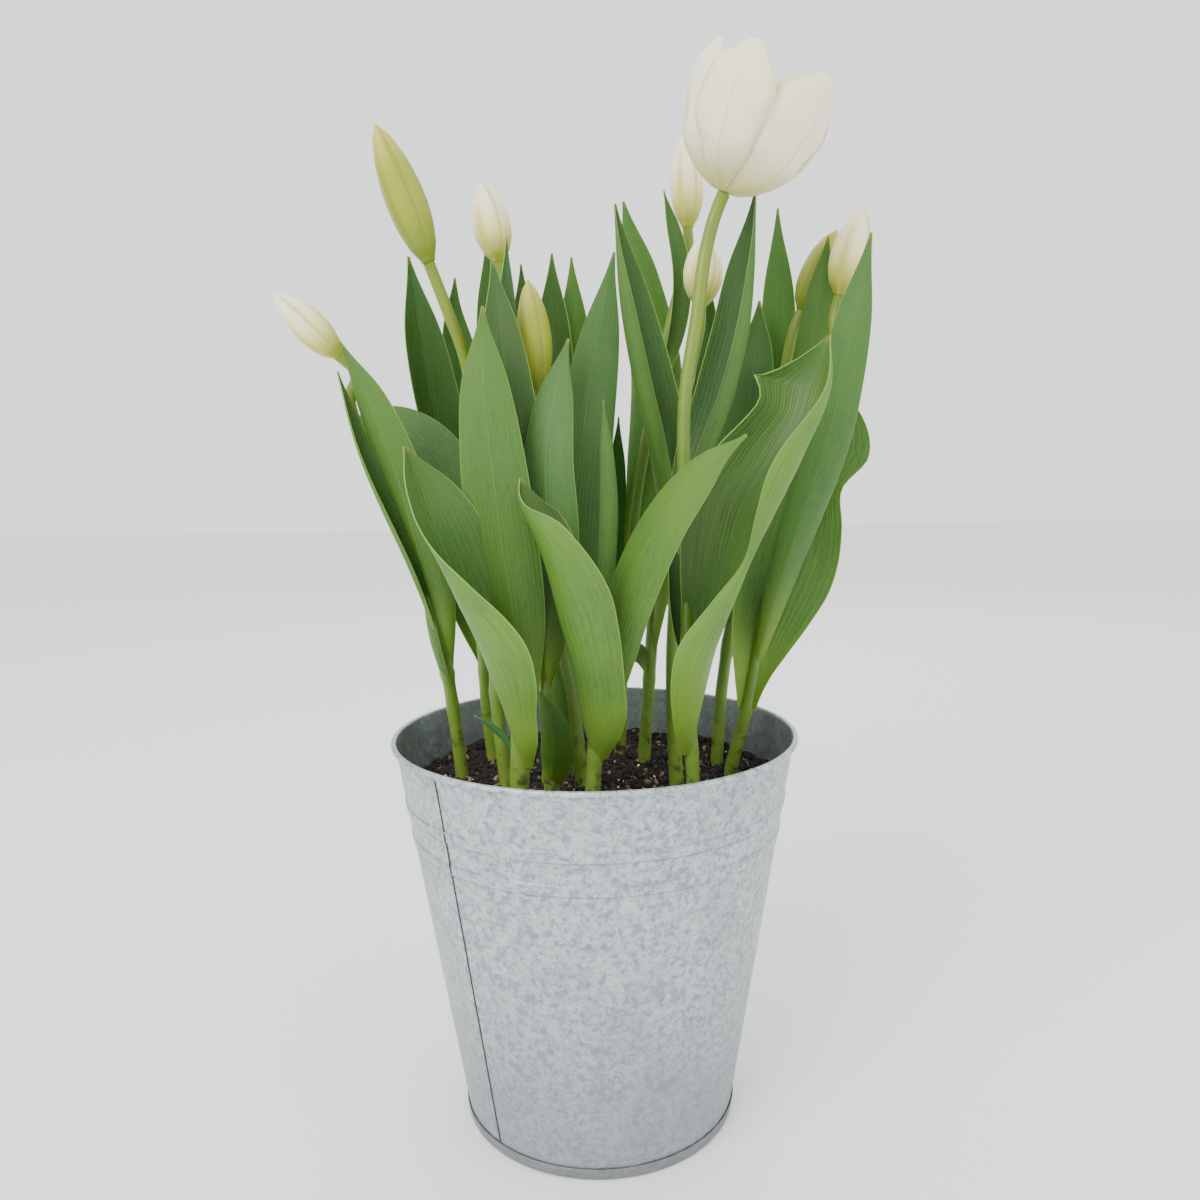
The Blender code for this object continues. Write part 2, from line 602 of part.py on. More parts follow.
floor = SHEET + GAP
profile = [(wall_radius(floor), floor)]
for ring in RING_HEIGHTS:
    profile.append((wall_radius(ring - RING_WIDTH / 2), ring - RING_WIDTH / 2))
    profile.append((wall_radius(ring) + RING_RISE, ring))
    profile.append((wall_radius(ring + RING_WIDTH / 2), ring + RING_WIDTH / 2))
for degrees in range(-90, 181, 54):
    angle = math.radians(degrees)
    out = bead_centre + BEAD_RADIUS * math.cos(angle)
    profile.append((out, bead_height + BEAD_RADIUS * math.sin(angle)))
profile.append((wall_radius(floor) - SHEET, floor))
wall = turned("bucket_wall", profile, BUCKET_SIDES, ZINC, closed=True)

# The lock seam, where the sheet's two edges are folded into each other down one side
SEAM_RISE = 0.5
outward = Vector((math.cos(math.radians(SEAM_AZIMUTH)), math.sin(math.radians(SEAM_AZIMUTH)), 0.0))
beside = upright.cross(outward)
corners = []
for height in (FOOT_BAND + 0.8, bead_height - 3.0):
    for depth, hand in ((-0.75, -1), (-0.75, 1), (SEAM_RISE, 1), (SEAM_RISE, -1)):
        reach = wall_radius(height) + depth
        corners.append(outward * reach + beside * (hand * SEAM_WIDTH / 2) + upright * height)
seam = solid("seam", corners, band(2, 4) + [(0, 1, 2, 3), (4, 5, 6, 7)])
joined(wall, [seam])
wall.data.materials.clear()
wall.data.materials.append(ZINC)

# The bucket's bottom: a shallow pan, its edge folded up outside the wall's foot
pan = (
    (wall_radius(0) + GAP + SHEET, 0.0),
    (wall_radius(FOOT_BAND) + GAP + SHEET, FOOT_BAND),
    (wall_radius(FOOT_BAND) + GAP, FOOT_BAND),
    (wall_radius(SHEET) + GAP, SHEET),
)
turned("bucket_bottom", pan, BUCKET_SIDES, ZINC)


def soil_height(x, y):
    """The uneven top of the soil: low heaps that run into each other."""
    heaps = 1.5 * math.sin(0.071 * x + 1.3) * math.cos(0.083 * y - 0.4)
    return SOIL_TOP + heaps + 0.9 * math.sin(0.23 * x - 0.17 * y) + 0.7 * math.cos(0.29 * y + 0.13 * x)


# The soil: it fills the bucket to about 30 mm below the rim
points = []
for side in range(BUCKET_SIDES):
    angle = math.tau * side / BUCKET_SIDES
    reach = wall_radius(floor) - SHEET - GAP
    points.append((reach * math.cos(angle), reach * math.sin(angle), floor))
for ring in range(SOIL_RINGS):
    for side in range(BUCKET_SIDES):
        angle = math.tau * side / BUCKET_SIDES
        reach = (wall_radius(SOIL_TOP - 4.0) - SHEET - GAP) * (1.0 - ring / SOIL_RINGS)
        x = reach * math.cos(angle)
        y = reach * math.sin(angle)
        points.append((x, y, soil_height(x, y)))
points.append((0.0, 0.0, soil_height(0.0, 0.0)))
faces = band(SOIL_RINGS + 1, BUCKET_SIDES)
faces.append(tuple(range(BUCKET_SIDES)))
innermost = SOIL_RINGS * BUCKET_SIDES
for side in range(BUCKET_SIDES):
    faces.append((innermost + side, innermost + (side + 1) % BUCKET_SIDES, innermost + BUCKET_SIDES))
soil = solid("soil", points, faces, SOIL)

# A bulb under each stem; the pocket it sits in and the hole its stem stands in are one opening
ROOM = 0.4
low = BULB_TOP - GAP - BULB_HEIGHT
pockets = []
for number, root, radius in ROOTS:
    body = [(BULB_RADIUS * width, low + BULB_HEIGHT * share) for share, width in BULB_PROFILE]
    turned(f"bulb_{number:02d}", body, STEM_SIDES, BULB, centre=root)
    room = [(width + ROOM, height) for width, height in body[:-1]]
    room = [(room[0][0], low - ROOM)] + room
    room += [(radius + ROOM, BULB_TOP - GAP), (radius + ROOM, SOIL_TOP + 12.0)]
    pockets.append(turned("pocket", room, STEM_SIDES, centre=root))
joined(soil, pockets, operation="DIFFERENCE")
soil.data.materials.clear()
soil.data.materials.append(SOIL)

# Every piece is round or bent: shaded smooth, with only its real edges left sharp
SHARP_DEGREES = 40.0
for piece in bpy.context.scene.objects:
    piece.data.shade_smooth()
    piece.data.set_sharp_from_angle(angle=math.radians(SHARP_DEGREES))
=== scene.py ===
# Potted tulips in a tapered galvanised bucket: one open bloom and eight closed buds on thirteen leafy
# stems. The origin is on the bucket's axis, on the surface that it stands on, and the photographed
# front faces -Y. Lengths are in millimetres and angles in degrees until a mesh is made.

import math
import random

import bpy
from mathutils import Matrix, Vector, noise


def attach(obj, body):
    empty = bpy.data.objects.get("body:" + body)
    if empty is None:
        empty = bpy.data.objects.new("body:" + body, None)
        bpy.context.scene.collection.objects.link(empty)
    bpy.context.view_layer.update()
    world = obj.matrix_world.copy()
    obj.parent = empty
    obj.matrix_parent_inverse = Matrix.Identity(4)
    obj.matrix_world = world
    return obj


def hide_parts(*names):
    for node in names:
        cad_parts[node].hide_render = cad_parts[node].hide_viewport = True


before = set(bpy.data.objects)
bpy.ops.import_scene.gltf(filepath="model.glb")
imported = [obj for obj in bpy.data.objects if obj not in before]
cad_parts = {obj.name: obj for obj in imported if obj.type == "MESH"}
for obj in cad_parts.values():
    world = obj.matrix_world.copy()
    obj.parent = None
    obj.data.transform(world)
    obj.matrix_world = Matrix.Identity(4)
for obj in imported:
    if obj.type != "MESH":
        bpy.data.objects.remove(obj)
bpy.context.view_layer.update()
MM = 0.001

# The bucket's wall: one sheet of hot-dip galvanised steel, rolled into a taper and closed with a lock
# seam at the front left. Its rim is rolled outwards round a wire, and two low rings are pressed into
# it near the top. The zinc froze in matt, cloudy crystals, which give it its mottling.
RIM_DIAMETER = 230.0
FOOT_DIAMETER = 154.4
BUCKET_HEIGHT = 223.0
SHEET = 0.8
GAP = 0.3
BEAD_RADIUS = 1.6
RING_HEIGHTS = (170.0, 188.0)
RING_WIDTH = 6.0
RING_RISE = 0.6
RING_SHOULDER = 0.7
SEAM_AZIMUTH = -137.0
SEAM_RISE = 0.5
FOOT_BAND = 6.5
bead_height = BUCKET_HEIGHT - BEAD_RADIUS
bead_centre = RIM_DIAMETER / 2 - BEAD_RADIUS
taper = (bead_centre - BEAD_RADIUS + SHEET - FOOT_DIAMETER / 2) / bead_height


def linear(code):
    """An sRGB hex colour as linear red, green, blue and alpha."""
    shares = [int(code[place:place + 2], 16) / 255 for place in (1, 3, 5)]
    return (*[s / 12.92 if s <= 0.04045 else ((s + 0.055) / 1.055) ** 2.4 for s in shares], 1.0)


def add(tree, kind, inputs=None, **settings):
    """Adds a node with its settings; each input takes a value or another node's output."""
    node = tree.nodes.new(kind)
    for name, value in settings.items():
        setattr(node, name, value)
    for name, value in (inputs or {}).items():
        if isinstance(value, bpy.types.NodeSocket):
            tree.links.new(value, node.inputs[name])
        else:
            node.inputs[name].default_value = value
    return node


def started(name, roughness, metallic=0.0):
    """A new material, its node tree and its Principled shader."""
    material = bpy.data.materials.new(name)
    material.use_nodes = True
    shader = material.node_tree.nodes["Principled BSDF"]
    shader.inputs["Roughness"].default_value = roughness
    shader.inputs["Metallic"].default_value = metallic
    return material, material.node_tree, shader


def laid(tree, under, over, *bands):
    """One colour laid over another, hex or a node's, where its bands meet.

    A band is a pattern, the two ends of its range, and its shares there where they aren't 0 and 1."""
    share = None
    for value, low, high, *ends in bands:
        least, most = ends or (0.0, 1.0)
        here = add(tree, "ShaderNodeMapRange", {0: value, 1: low, 2: high, 3: least, 4: most},
                   interpolation_type="SMOOTHSTEP").outputs[0]
        if share is not None:
            here = add(tree, "ShaderNodeMath", {0: share, 1: here}, operation="MULTIPLY").outputs[0]
        share = here
    under, over = [linear(colour) if isinstance(colour, str) else colour for colour in (under, over)]
    return add(tree, "ShaderNodeMix", {0: share, 6: under, 7: over}, data_type="RGBA").outputs[2]


def coated(tree, shader, colour, relief=None, strength=0.0, depth=0.0):
    """Gives a material its colour and, where there is one, a fine relief of a depth in metres."""
    tree.links.new(colour, shader.inputs["Base Color"])
    if relief is not None:
        bump = add(tree, "ShaderNodeBump", {"Height": relief, "Strength": strength, "Distance": depth})
        tree.links.new(bump.outputs[0], shader.inputs["Normal"])


# Hot-dip galvanised steel sheet: dull zinc, its crystals 1 to 4 mm across and faintly lighter or darker
# than each other, with soft grey weathering, a grey that darkens it towards the bottom, painted shade in
# the rings' creases and a few dark specks. Its inside is darker and greenish: painted shade.
zinc, tree, shader = started("hot_dip_galvanised_steel", 0.46, 0.55)
place = add(tree, "ShaderNodeTexCoord").outputs["Object"]
warp = add(tree, "ShaderNodeTexNoise", {"Vector": place, "Scale": 90.0, "Detail": 3.0})
drift = add(tree, "ShaderNodeVectorMath", {0: warp.outputs["Color"], 1: (0.006, 0.006, 0.006)},
            operation="MULTIPLY")
warped = add(tree, "ShaderNodeVectorMath", {0: place, 1: drift.outputs[0]}, operation="ADD").outputs[0]
crystal = add(tree, "ShaderNodeTexVoronoi", {"Vector": warped, "Scale": 330.0})
crystal_tone = add(tree, "ShaderNodeSeparateColor", {"Color": crystal.outputs["Color"]}).outputs[0]
small = add(tree, "ShaderNodeTexVoronoi", {"Vector": warped, "Scale": 720.0})
small_tone = add(tree, "ShaderNodeSeparateColor", {"Color": small.outputs["Color"]}).outputs[1]
cloud = add(tree, "ShaderNodeTexNoise",
            {"Vector": place, "Scale": 16.0, "Detail": 5.0, "Roughness": 0.62}).outputs[0]
blotch = add(tree, "ShaderNodeTexNoise",
             {"Vector": place, "Scale": 240.0, "Detail": 6.0, "Roughness": 0.75}).outputs[0]
height = add(tree, "ShaderNodeSeparateXYZ", {0: place}).outputs[2]
spot = add(tree, "ShaderNodeTexVoronoi", {"Vector": place, "Scale": 34.0, "Randomness": 1.0})
spot_tone = add(tree, "ShaderNodeSeparateColor", {"Color": spot.outputs["Color"]}).outputs[2]
colour = laid(tree, "#8B9497", "#B3BCBF", (crystal_tone, 0.1, 0.9))
colour = laid(tree, colour, "#79838A", (small_tone, 0.5, 0.9, 0.0, 0.65))
colour = laid(tree, colour, "#C6CFD2", (blotch, 0.42, 0.62, 0.0, 0.6))
colour = laid(tree, colour, "#7C8688", (cloud, 0.48, 0.72, 0.0, 0.5))
# Darker towards the bottom
colour = laid(tree, colour, "#7C8184", (height, 0.15, 0.0, 0.0, 0.6))
colour = laid(tree, colour, "#5B5349", (spot.outputs["Distance"], 0.055, 0.02), (spot_tone, 0.93, 0.94))
# Painted shade: grey along both creases of each pressed ring, in patches where the cloud lets it through
for crease in [ring + side * RING_WIDTH / 2 for ring in RING_HEIGHTS for side in (-1, 1)]:
    off = add(tree, "ShaderNodeMath", {0: height, 1: crease * MM}, operation="SUBTRACT").outputs[0]
    off = add(tree, "ShaderNodeMath", {0: off}, operation="ABSOLUTE").outputs[0]
    colour = laid(tree, colour, "#5F676A", (off, 0.0009, 0.0002, 0.0, 0.5), (cloud, 0.35, 0.6, 0.3, 1.0))
# Painted shade on the inside of the wall, found by its distance from the axis: darker and greenish, in cloudy
# patches
flat = add(tree, "ShaderNodeVectorMath", {0: place, 1: (1.0, 1.0, 0.0)}, operation="MULTIPLY").outputs[0]
reach = add(tree, "ShaderNodeVectorMath", {0: flat}, operation="LENGTH").outputs["Value"]
sloped = add(tree, "ShaderNodeMath", {0: height, 1: -taper, 2: reach}, operation="MULTIPLY_ADD").outputs[0]
colour = laid(tree, colour, "#525A52", (cloud, 0.3, 0.7, 0.6, 0.9),
              (sloped, (FOOT_DIAMETER / 2 - 0.25) * MM, (FOOT_DIAMETER / 2 - 0.55) * MM))
coated(tree, shader, colour, blotch, 0.12, 0.0004)
dulled = add(tree, "ShaderNodeMapRange", {0: crystal_tone, 3: 0.4, 4: 0.58}, interpolation_type="SMOOTHSTEP")
tree.links.new(dulled.outputs[0], shader.inputs["Roughness"])


def made(name, points, faces, material, replaced):
    """A piece from points in millimetres, shaded smooth, that stands for a CAD node."""
    mesh = bpy.data.meshes.new(name)
    mesh.from_pydata([tuple(Vector(point) * MM) for point in points], [], faces)
    mesh.materials.append(material)
    mesh.shade_smooth()
    mesh.set_sharp_from_angle(angle=math.radians(50))
    piece = bpy.data.objects.new(name, mesh)
    bpy.context.scene.collection.objects.link(piece)
    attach(piece, "root")
    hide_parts(replaced)
    return piece


def wall_radius(height):
    """How far the wall's outer face stands from the axis, without the rings."""
    return FOOT_DIAMETER / 2 + taper * height


def turned(profile, angles):
    """Points and outward faces of a closed profile of (radius, height) turned through the angles."""
    points = []
    faces = []
    for angle in angles:
        for radius, height in profile:
            points.append((radius * math.cos(angle), radius * math.sin(angle), height))
    rows = len(profile)
    for side in range(len(angles)):
        there = (side + 1) % len(angles) * rows
        here = side * rows
        for row in range(rows):
            beyond = (row + 1) % rows
            faces.append((here + row, there + row, there + beyond, here + beyond))
    return points, faces


def rings(height):
    """How far the two pressed rings stand out of the wall at a height."""
    near = min(abs(height - ring) for ring in RING_HEIGHTS)
    return RING_RISE * max(0.0, min(1.0, (RING_WIDTH / 2 - near) / RING_SHOULDER + 0.5))


# Its section, up the outside, round the bead and down the inside, with more rows where the rings are
WALL_ROWS = 40
WALL_SIDES = 180
BEAD_ROWS = 12
floor = SHEET + GAP
heights = [floor + (bead_height - BEAD_RADIUS - floor) * row / WALL_ROWS for row in range(WALL_ROWS + 1)]
heights = [height for height in heights if all(abs(height - ring) > 5.0 for ring in RING_HEIGHTS)]
heights = sorted(heights + [ring + row * 0.25 for ring in RING_HEIGHTS for row in range(-18, 19)])
profile = [(wall_radius(height) + rings(height), height) for height in heights]
for angle in [math.radians(-80 + 260 * row / BEAD_ROWS) for row in range(BEAD_ROWS + 1)]:
    profile.append((bead_centre + BEAD_RADIUS * math.cos(angle), bead_height + BEAD_RADIUS * math.sin(angle)))
profile += [(wall_radius(height) - SHEET + rings(height), height) for height in reversed(heights)]
angles = [math.tau * side / WALL_SIDES for side in range(WALL_SIDES)]
points, faces = turned(profile, angles)
made("bucket_wall_zinc", points, faces, zinc, "bucket_wall")

# The lock seam: the sheet's two edges hooked into each other and pressed flat, a strip that runs from
# the foot band to the rim, with a dark slit of painted shade along its open side and a small step at each
# pressed ring
SEAM_STEPS = 110
seam_foot = FOOT_BAND + 0.8
seam_top = bead_height - 3.0


def compass(azimuth):
    """A level direction."""
    return Vector((math.cos(math.radians(azimuth)), math.sin(math.radians(azimuth)), 0.0))


def tube(rows, sides, base=0):
    """Faces that join rows of points into a tube, seen from outside, and the faces of its two ends."""
    faces = []
    for row in range(rows - 1):
        for side in range(sides):
            here = base + row * sides + side
            there = base + row * sides + (side + 1) % sides
            faces.append((here, there, there + sides, here + sides))
    last = base + (rows - 1) * sides
    return faces, [tuple(range(base + sides - 1, base - 1, -1)), tuple(range(last, last + sides))]


upright = Vector((0.0, 0.0, 1.0))


def seam_strip(name, profile, sunk, fade, material):
    """A strip up the seam with a profile of (across, rise), fading out over fade steps at its ends."""
    outward = compass(SEAM_AZIMUTH)
    beside = upright.cross(outward)
    points = []
    for step in range(SEAM_STEPS + 1):
        height = seam_foot + (seam_top - seam_foot) * step / SEAM_STEPS
        kink = sum(0.5 * math.exp(-((height - ring) / 2.5) ** 2) for ring in RING_HEIGHTS)
        ends = min(1.0, step / fade, (SEAM_STEPS - step) / fade) if fade else 1.0
        for across, rise in profile:
            reach = wall_radius(height) + rings(height) + (rise if rise < 0 else rise * ends) - sunk
            points.append(outward * reach + beside * (across + kink) + upright * height)
    faces, ends = tube(SEAM_STEPS + 1, len(profile))
    made(name, points, faces + ends, material, "bucket_wall")


seam_strip("bucket_lock_seam", ((-3.4, -0.5), (-3.2, 0.1), (-2.7, 0.42), (-1.5, SEAM_RISE), (1.0, SEAM_RISE),
                                (2.2, 0.42), (2.75, 0.1), (2.8, -0.5)), 0.02, 3, zinc)

# Painted shade in the seam's open side: a black, matt strip
slit_shade, _, shader = started("painted_shade_in_the_seam", 0.8)
shader.inputs["Base Color"].default_value = linear("#2B2C29")
seam_strip("bucket_seam_slit", ((2.6, -0.3), (2.7, 0.14), (3.8, 0.1), (3.9, -0.3)), 0.0, 0, slit_shade)

# The bucket's bottom: a shallow pan of the same sheet, its edge folded up round the wall's foot and
# pressed on. Its zinc is mixed half and half with a dark grey, so it is darker and greyer than the wall.
band_zinc = zinc.copy()
band_zinc.name = "darker_galvanised_steel"
tree = band_zinc.node_tree
shader = next(node for node in tree.nodes if node.type == "BSDF_PRINCIPLED")
bright = shader.inputs["Base Color"].links[0].from_socket
darkened = add(tree, "ShaderNodeMix", {0: 0.5, 6: bright, 7: linear("#5C5B55")}, data_type="RGBA").outputs[2]
coated(tree, shader, darkened)
outer_low = wall_radius(0) + GAP + SHEET
profile = [(0.02, 0.0), (outer_low * 0.5, 0.0), (outer_low - 0.8, 0.0), (outer_low - 0.1, 0.5)]
profile += [(wall_radius(height) + GAP + SHEET, height) for height in (1.2, 2.5, 4.0, FOOT_BAND - 0.5)]
profile += [(wall_radius(FOOT_BAND) + GAP + SHEET * 0.6, FOOT_BAND),
            (wall_radius(FOOT_BAND) + GAP, FOOT_BAND - 0.2)]
profile += [(wall_radius(3) + GAP * 0.5, 3.0), (wall_radius(SHEET) + GAP * 0.5, SHEET), (0.02, SHEET)]
points, faces = turned(profile, angles)
made("bucket_bottom_pan", points, faces, band_zinc, "bucket_bottom")

# The soil: dark, moist peat compost with crumbs up to a few millimetres, bits of brown bark and pale
# perlite. It fills the bucket to about 30 mm below the rim, and the stems stand in it.
SOIL_TOP = 192.0
compost, tree, shader = started("moist_peat_compost", 0.93)
place = add(tree, "ShaderNodeTexCoord").outputs["Object"]
grain = add(tree, "ShaderNodeTexNoise",
            {"Vector": place, "Scale": 420.0, "Detail": 6.0, "Roughness": 0.7}).outputs[0]
patch = add(tree, "ShaderNodeTexNoise", {"Vector": place, "Scale": 70.0, "Detail": 3.0}).outputs[0]
colour = laid(tree, "#0A0706", "#2A1F17", (grain, 0.35, 0.7))
colour = laid(tree, colour, "#3A2B20", (patch, 0.55, 0.75, 0.0, 0.5))
coated(tree, shader, colour, grain, 0.9, 0.0012)


def soil_height(x, y):
    """The uneven top of the soil: low heaps, with clods and crumbs on them."""
    heaps = 1.5 * math.sin(0.071 * x + 1.3) * math.cos(0.083 * y - 0.4)
    heaps += 0.9 * math.sin(0.23 * x - 0.17 * y) + 0.7 * math.cos(0.29 * y + 0.13 * x)
    clods = 1.6 * noise.noise(Vector((x, y, 0.0)) / 9.0) + 0.9 * noise.noise(Vector((x, y, 5.0)) / 3.2)
    edge = max(0.0, math.hypot(x, y) - 88.0) * 0.16
    return SOIL_TOP + heaps + clods + edge


def heaped(sides, rows, edge, lift):
    """Rings of points a little above the soil's top, from its edge inwards."""
    points = []
    for row in range(rows):
        reach = edge * (1.0 - row / rows)
        for side in range(sides):
            angle = math.tau * side / sides
            x = reach * math.cos(angle)
            y = reach * math.sin(angle)
            points.append(Vector((x, y, soil_height(x, y) + lift)))
    return points


SOIL_SIDES = 220
SOIL_RINGS = 70
soil_edge = wall_radius(SOIL_TOP - 4.0) - SHEET - GAP
soil_foot = wall_radius(floor) - SHEET - GAP
points = [(0.0, 0.0, floor)]
for side in range(SOIL_SIDES):
    angle = math.tau * side / SOIL_SIDES
    points.append((soil_foot * math.cos(angle), soil_foot * math.sin(angle), floor))
points += heaped(SOIL_SIDES, SOIL_RINGS, soil_edge, 0.0)
points.append((0.0, 0.0, soil_height(0.0, 0.0)))
faces, ends = tube(SOIL_RINGS + 1, SOIL_SIDES, 1)
for centre, ring in zip((0, len(points) - 1), ends):
    faces += [(centre, here, there) for here, there in zip(ring, ring[1:] + ring[:1])]
made("potting_soil", points, faces, compost, "soil")

# Loose crumbs on the soil: crumbs of peat, flakes of bark and a few white grains of perlite, strewn by
# Geometry Nodes with a fixed seed, each knocked out of shape by noise
bark, tree, shader = started("bark_flakes", 0.85)
place = add(tree, "ShaderNodeTexCoord").outputs["Object"]
grain = add(tree, "ShaderNodeTexNoise", {"Vector": place, "Scale": 160.0, "Detail": 4.0}).outputs[0]
coated(tree, shader, laid(tree, "#4B3323", "#9A7B5A", (grain, 0.35, 0.65)))
perlite, _, shader = started("expanded_perlite", 0.8)
shader.inputs["Base Color"].default_value = linear("#D9D4C8")


def strewn(name, bed, material, density, radius, stretch, seed):
    """Crumbs of one kind over the bed, as a plain mesh of its own."""
    tree = bpy.data.node_groups.new(name, "GeometryNodeTree")
    tree.interface.new_socket("Bed", in_out="INPUT", socket_type="NodeSocketGeometry")
    sockets = {}
    for label, value in (("Density", density), ("Crumb radius", radius), ("Stretch", stretch),
                         ("Seed", seed)):
        kind = "NodeSocketInt" if label == "Seed" else "NodeSocketFloat"
        sockets[tree.interface.new_socket(label, in_out="INPUT", socket_type=kind).identifier] = value
    tree.interface.new_socket("Crumbs", in_out="OUTPUT", socket_type="NodeSocketGeometry")
    given = add(tree, "NodeGroupInput").outputs
    spread = add(tree, "GeometryNodeDistributePointsOnFaces",
                 {"Mesh": given["Bed"], "Density": given["Density"], "Seed": given["Seed"]})
    ball = add(tree, "GeometryNodeMeshIcoSphere", {"Radius": given["Crumb radius"], "Subdivisions": 1})
    turn = add(tree, "FunctionNodeRandomValue",
               {0: (0.0, 0.0, 0.0), 1: (6.28, 6.28, 6.28), "Seed": given["Seed"]}, data_type="FLOAT_VECTOR")
    size = add(tree, "FunctionNodeRandomValue", {2: 0.35, 3: 1.5, "Seed": given["Seed"]}, data_type="FLOAT")
    long = add(tree, "ShaderNodeMath", {0: size.outputs[1], 1: given["Stretch"]}, operation="MULTIPLY")
    shape = add(tree, "ShaderNodeCombineXYZ", {0: long.outputs[0], 1: size.outputs[1], 2: size.outputs[1]})
    placed = add(tree, "GeometryNodeInstanceOnPoints",
                 {"Points": spread.outputs["Points"], "Instance": ball.outputs["Mesh"],
                  "Rotation": turn.outputs[0], "Scale": shape.outputs[0]})
    real = add(tree, "GeometryNodeRealizeInstances", {0: placed.outputs[0]})
    rough = add(tree, "ShaderNodeTexNoise", {"Scale": 700.0})
    centred = add(tree, "ShaderNodeVectorMath", {0: rough.outputs["Color"], 1: (-0.5, -0.5, -0.5)},
                  operation="ADD")
    push = add(tree, "ShaderNodeVectorMath", {0: centred.outputs[0]}, operation="SCALE")
    tree.links.new(given["Crumb radius"], push.inputs["Scale"])
    knocked = add(tree, "GeometryNodeSetPosition", {"Geometry": real.outputs[0], "Offset": push.outputs[0]})
    skinned = add(tree, "GeometryNodeSetMaterial", {"Geometry": knocked.outputs[0], "Material": material})
    add(tree, "NodeGroupOutput", {"Crumbs": skinned.outputs[0]})
    piece = bpy.data.objects.new(name, bed)
    bpy.context.scene.collection.objects.link(piece)
    modifier = piece.modifiers.new("strewn", "NODES")
    modifier.node_group = tree
    for identifier, value in sockets.items():
        modifier[identifier] = value
    graph = bpy.context.evaluated_depsgraph_get()
    mesh = bpy.data.meshes.new_from_object(piece.evaluated_get(graph))
    piece.modifiers.clear()
    piece.data = mesh
    mesh.shade_flat()
    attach(piece, "root")
    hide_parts("soil")


BED_SIDES = 90
BED_RINGS = 25
bed = bpy.data.meshes.new("soil_bed")
bed.from_pydata([point * MM for point in heaped(BED_SIDES, BED_RINGS, soil_edge - 2.0, 0.2)], [],
                tube(BED_RINGS, BED_SIDES)[0])
strewn("peat_crumbs", bed, compost, 120000.0, 0.0015, 1.0, 3)
strewn("bark_flakes", bed, bark, 15000.0, 0.0011, 2.2, 8)
strewn("perlite_grains", bed, perlite, 6000.0, 0.0008, 1.0, 21)

# The leafy stems: each tulip has one upright stem, and two to four smooth, fleshy leaves whose feet
# clasp it. A leaf is channelled along its midrib, finely ribbed from end to end, and has a thin pale
# edge. Stem and leaves grew as one piece, which stands in a hole in the soil.
STEM_SIDES = 16
STEM_STEPS = 44
ROOT_TOP = 196.0
BULB_TOP = 140.0
LEAF_STEPS = 48
LEAF_STRIPS = 16
LEAF_THICKNESS = 0.8
TIGHTEST_FOLD = 1.2
LANCE = (0.22, 0.62, 0.92, 1.0, 0.92, 0.66, 0.04)
chance = random.Random(11)


def ribbed(tree, across, along_it, ribs):
    """Fine parallel veins: a wave across the blade, bent and broken a little along it."""
    wander = add(tree, "ShaderNodeTexNoise", {"Scale": 7.0, "Detail": 2.0})
    stretched = add(tree, "ShaderNodeCombineXYZ", {0: across, 1: along_it})
    tree.links.new(stretched.outputs[0], wander.inputs["Vector"])
    turns = add(tree, "ShaderNodeMath", {0: across, 1: ribs * math.tau}, operation="MULTIPLY")
    bent = add(tree, "ShaderNodeMath", {0: wander.outputs[0], 1: 5.0, 2: turns.outputs[0]},
               operation="MULTIPLY_ADD")
    wave = add(tree, "ShaderNodeMath", {0: bent.outputs[0]}, operation="SINE")
    return add(tree, "ShaderNodeMapRange", {0: wave.outputs[0], 1: -1.0},
               interpolation_type="SMOOTHSTEP").outputs[0]


def on_blade(tree):
    """Where a point lies on its leaf or petal: across it, up it, and how far out from its midrib."""
    sheet_place = add(tree, "ShaderNodeUVMap", uv_map="blade").outputs[0]
    across, up, _ = add(tree, "ShaderNodeSeparateXYZ", {0: sheet_place}).outputs
    centred = add(tree, "ShaderNodeMath", {0: across, 1: 0.5}, operation="SUBTRACT").outputs[0]
    return across, up, add(tree, "ShaderNodeMath", {0: centred}, operation="ABSOLUTE").outputs[0]


def fleshy(shader, weight, radius):
    """Lets a little light into a living skin."""
    shader.inputs["Subsurface Weight"].default_value = weight
    shader.inputs["Subsurface Radius"].default_value = radius
    shader.inputs["Subsurface Scale"].default_value = 0.5


# A tulip leaf: waxy and matt, grey-green outside and deeper green on its inner face, ribbed and streaked
# from end to end, paler at its foot and along its edge. The attribute tint runs from bluish and darker,
# partly the waxy bloom and partly painted shade, to lighter and yellow-green, painted light as if lit
# through.
LEAF_ROUGHNESS = 0.55
BLOOM_AND_SHADE_GREEN = "#3F6B3C"
LEAF_EDGE = "#93B04E"
leaf_skin, tree, shader = started("waxy_tulip_leaf", LEAF_ROUGHNESS)
fleshy(shader, 0.12, (0.004, 0.008, 0.001))
shader.inputs["Specular IOR Level"].default_value = 0.35
across, up, out = on_blade(tree)
place = add(tree, "ShaderNodeTexCoord").outputs["Object"]
inner = add(tree, "ShaderNodeAttribute", attribute_name="inner_face").outputs["Fac"]
tint = add(tree, "ShaderNodeAttribute", attribute_name="tint").outputs["Fac"]
cloud = add(tree, "ShaderNodeTexNoise",
            {"Vector": place, "Scale": 28.0, "Detail": 4.0, "Roughness": 0.6}).outputs[0]
speck = add(tree, "ShaderNodeTexNoise", {"Vector": place, "Scale": 260.0, "Detail": 3.0}).outputs[0]
veins = ribbed(tree, across, up, 17.0)
fine = ribbed(tree, across, up, 43.0)
colour = add(tree, "ShaderNodeMix", {0: inner, 6: linear("#4C7020"), 7: linear("#38561A")},
             data_type="RGBA").outputs[2]
# Painted light: lighter yellow-green where the tint is above 0, as if lit through, less on inner faces
colour = laid(tree, colour, "#739A38", (tint, 0.0, 1.0), (inner, 0.0, 1.0, 1.0, 0.4))
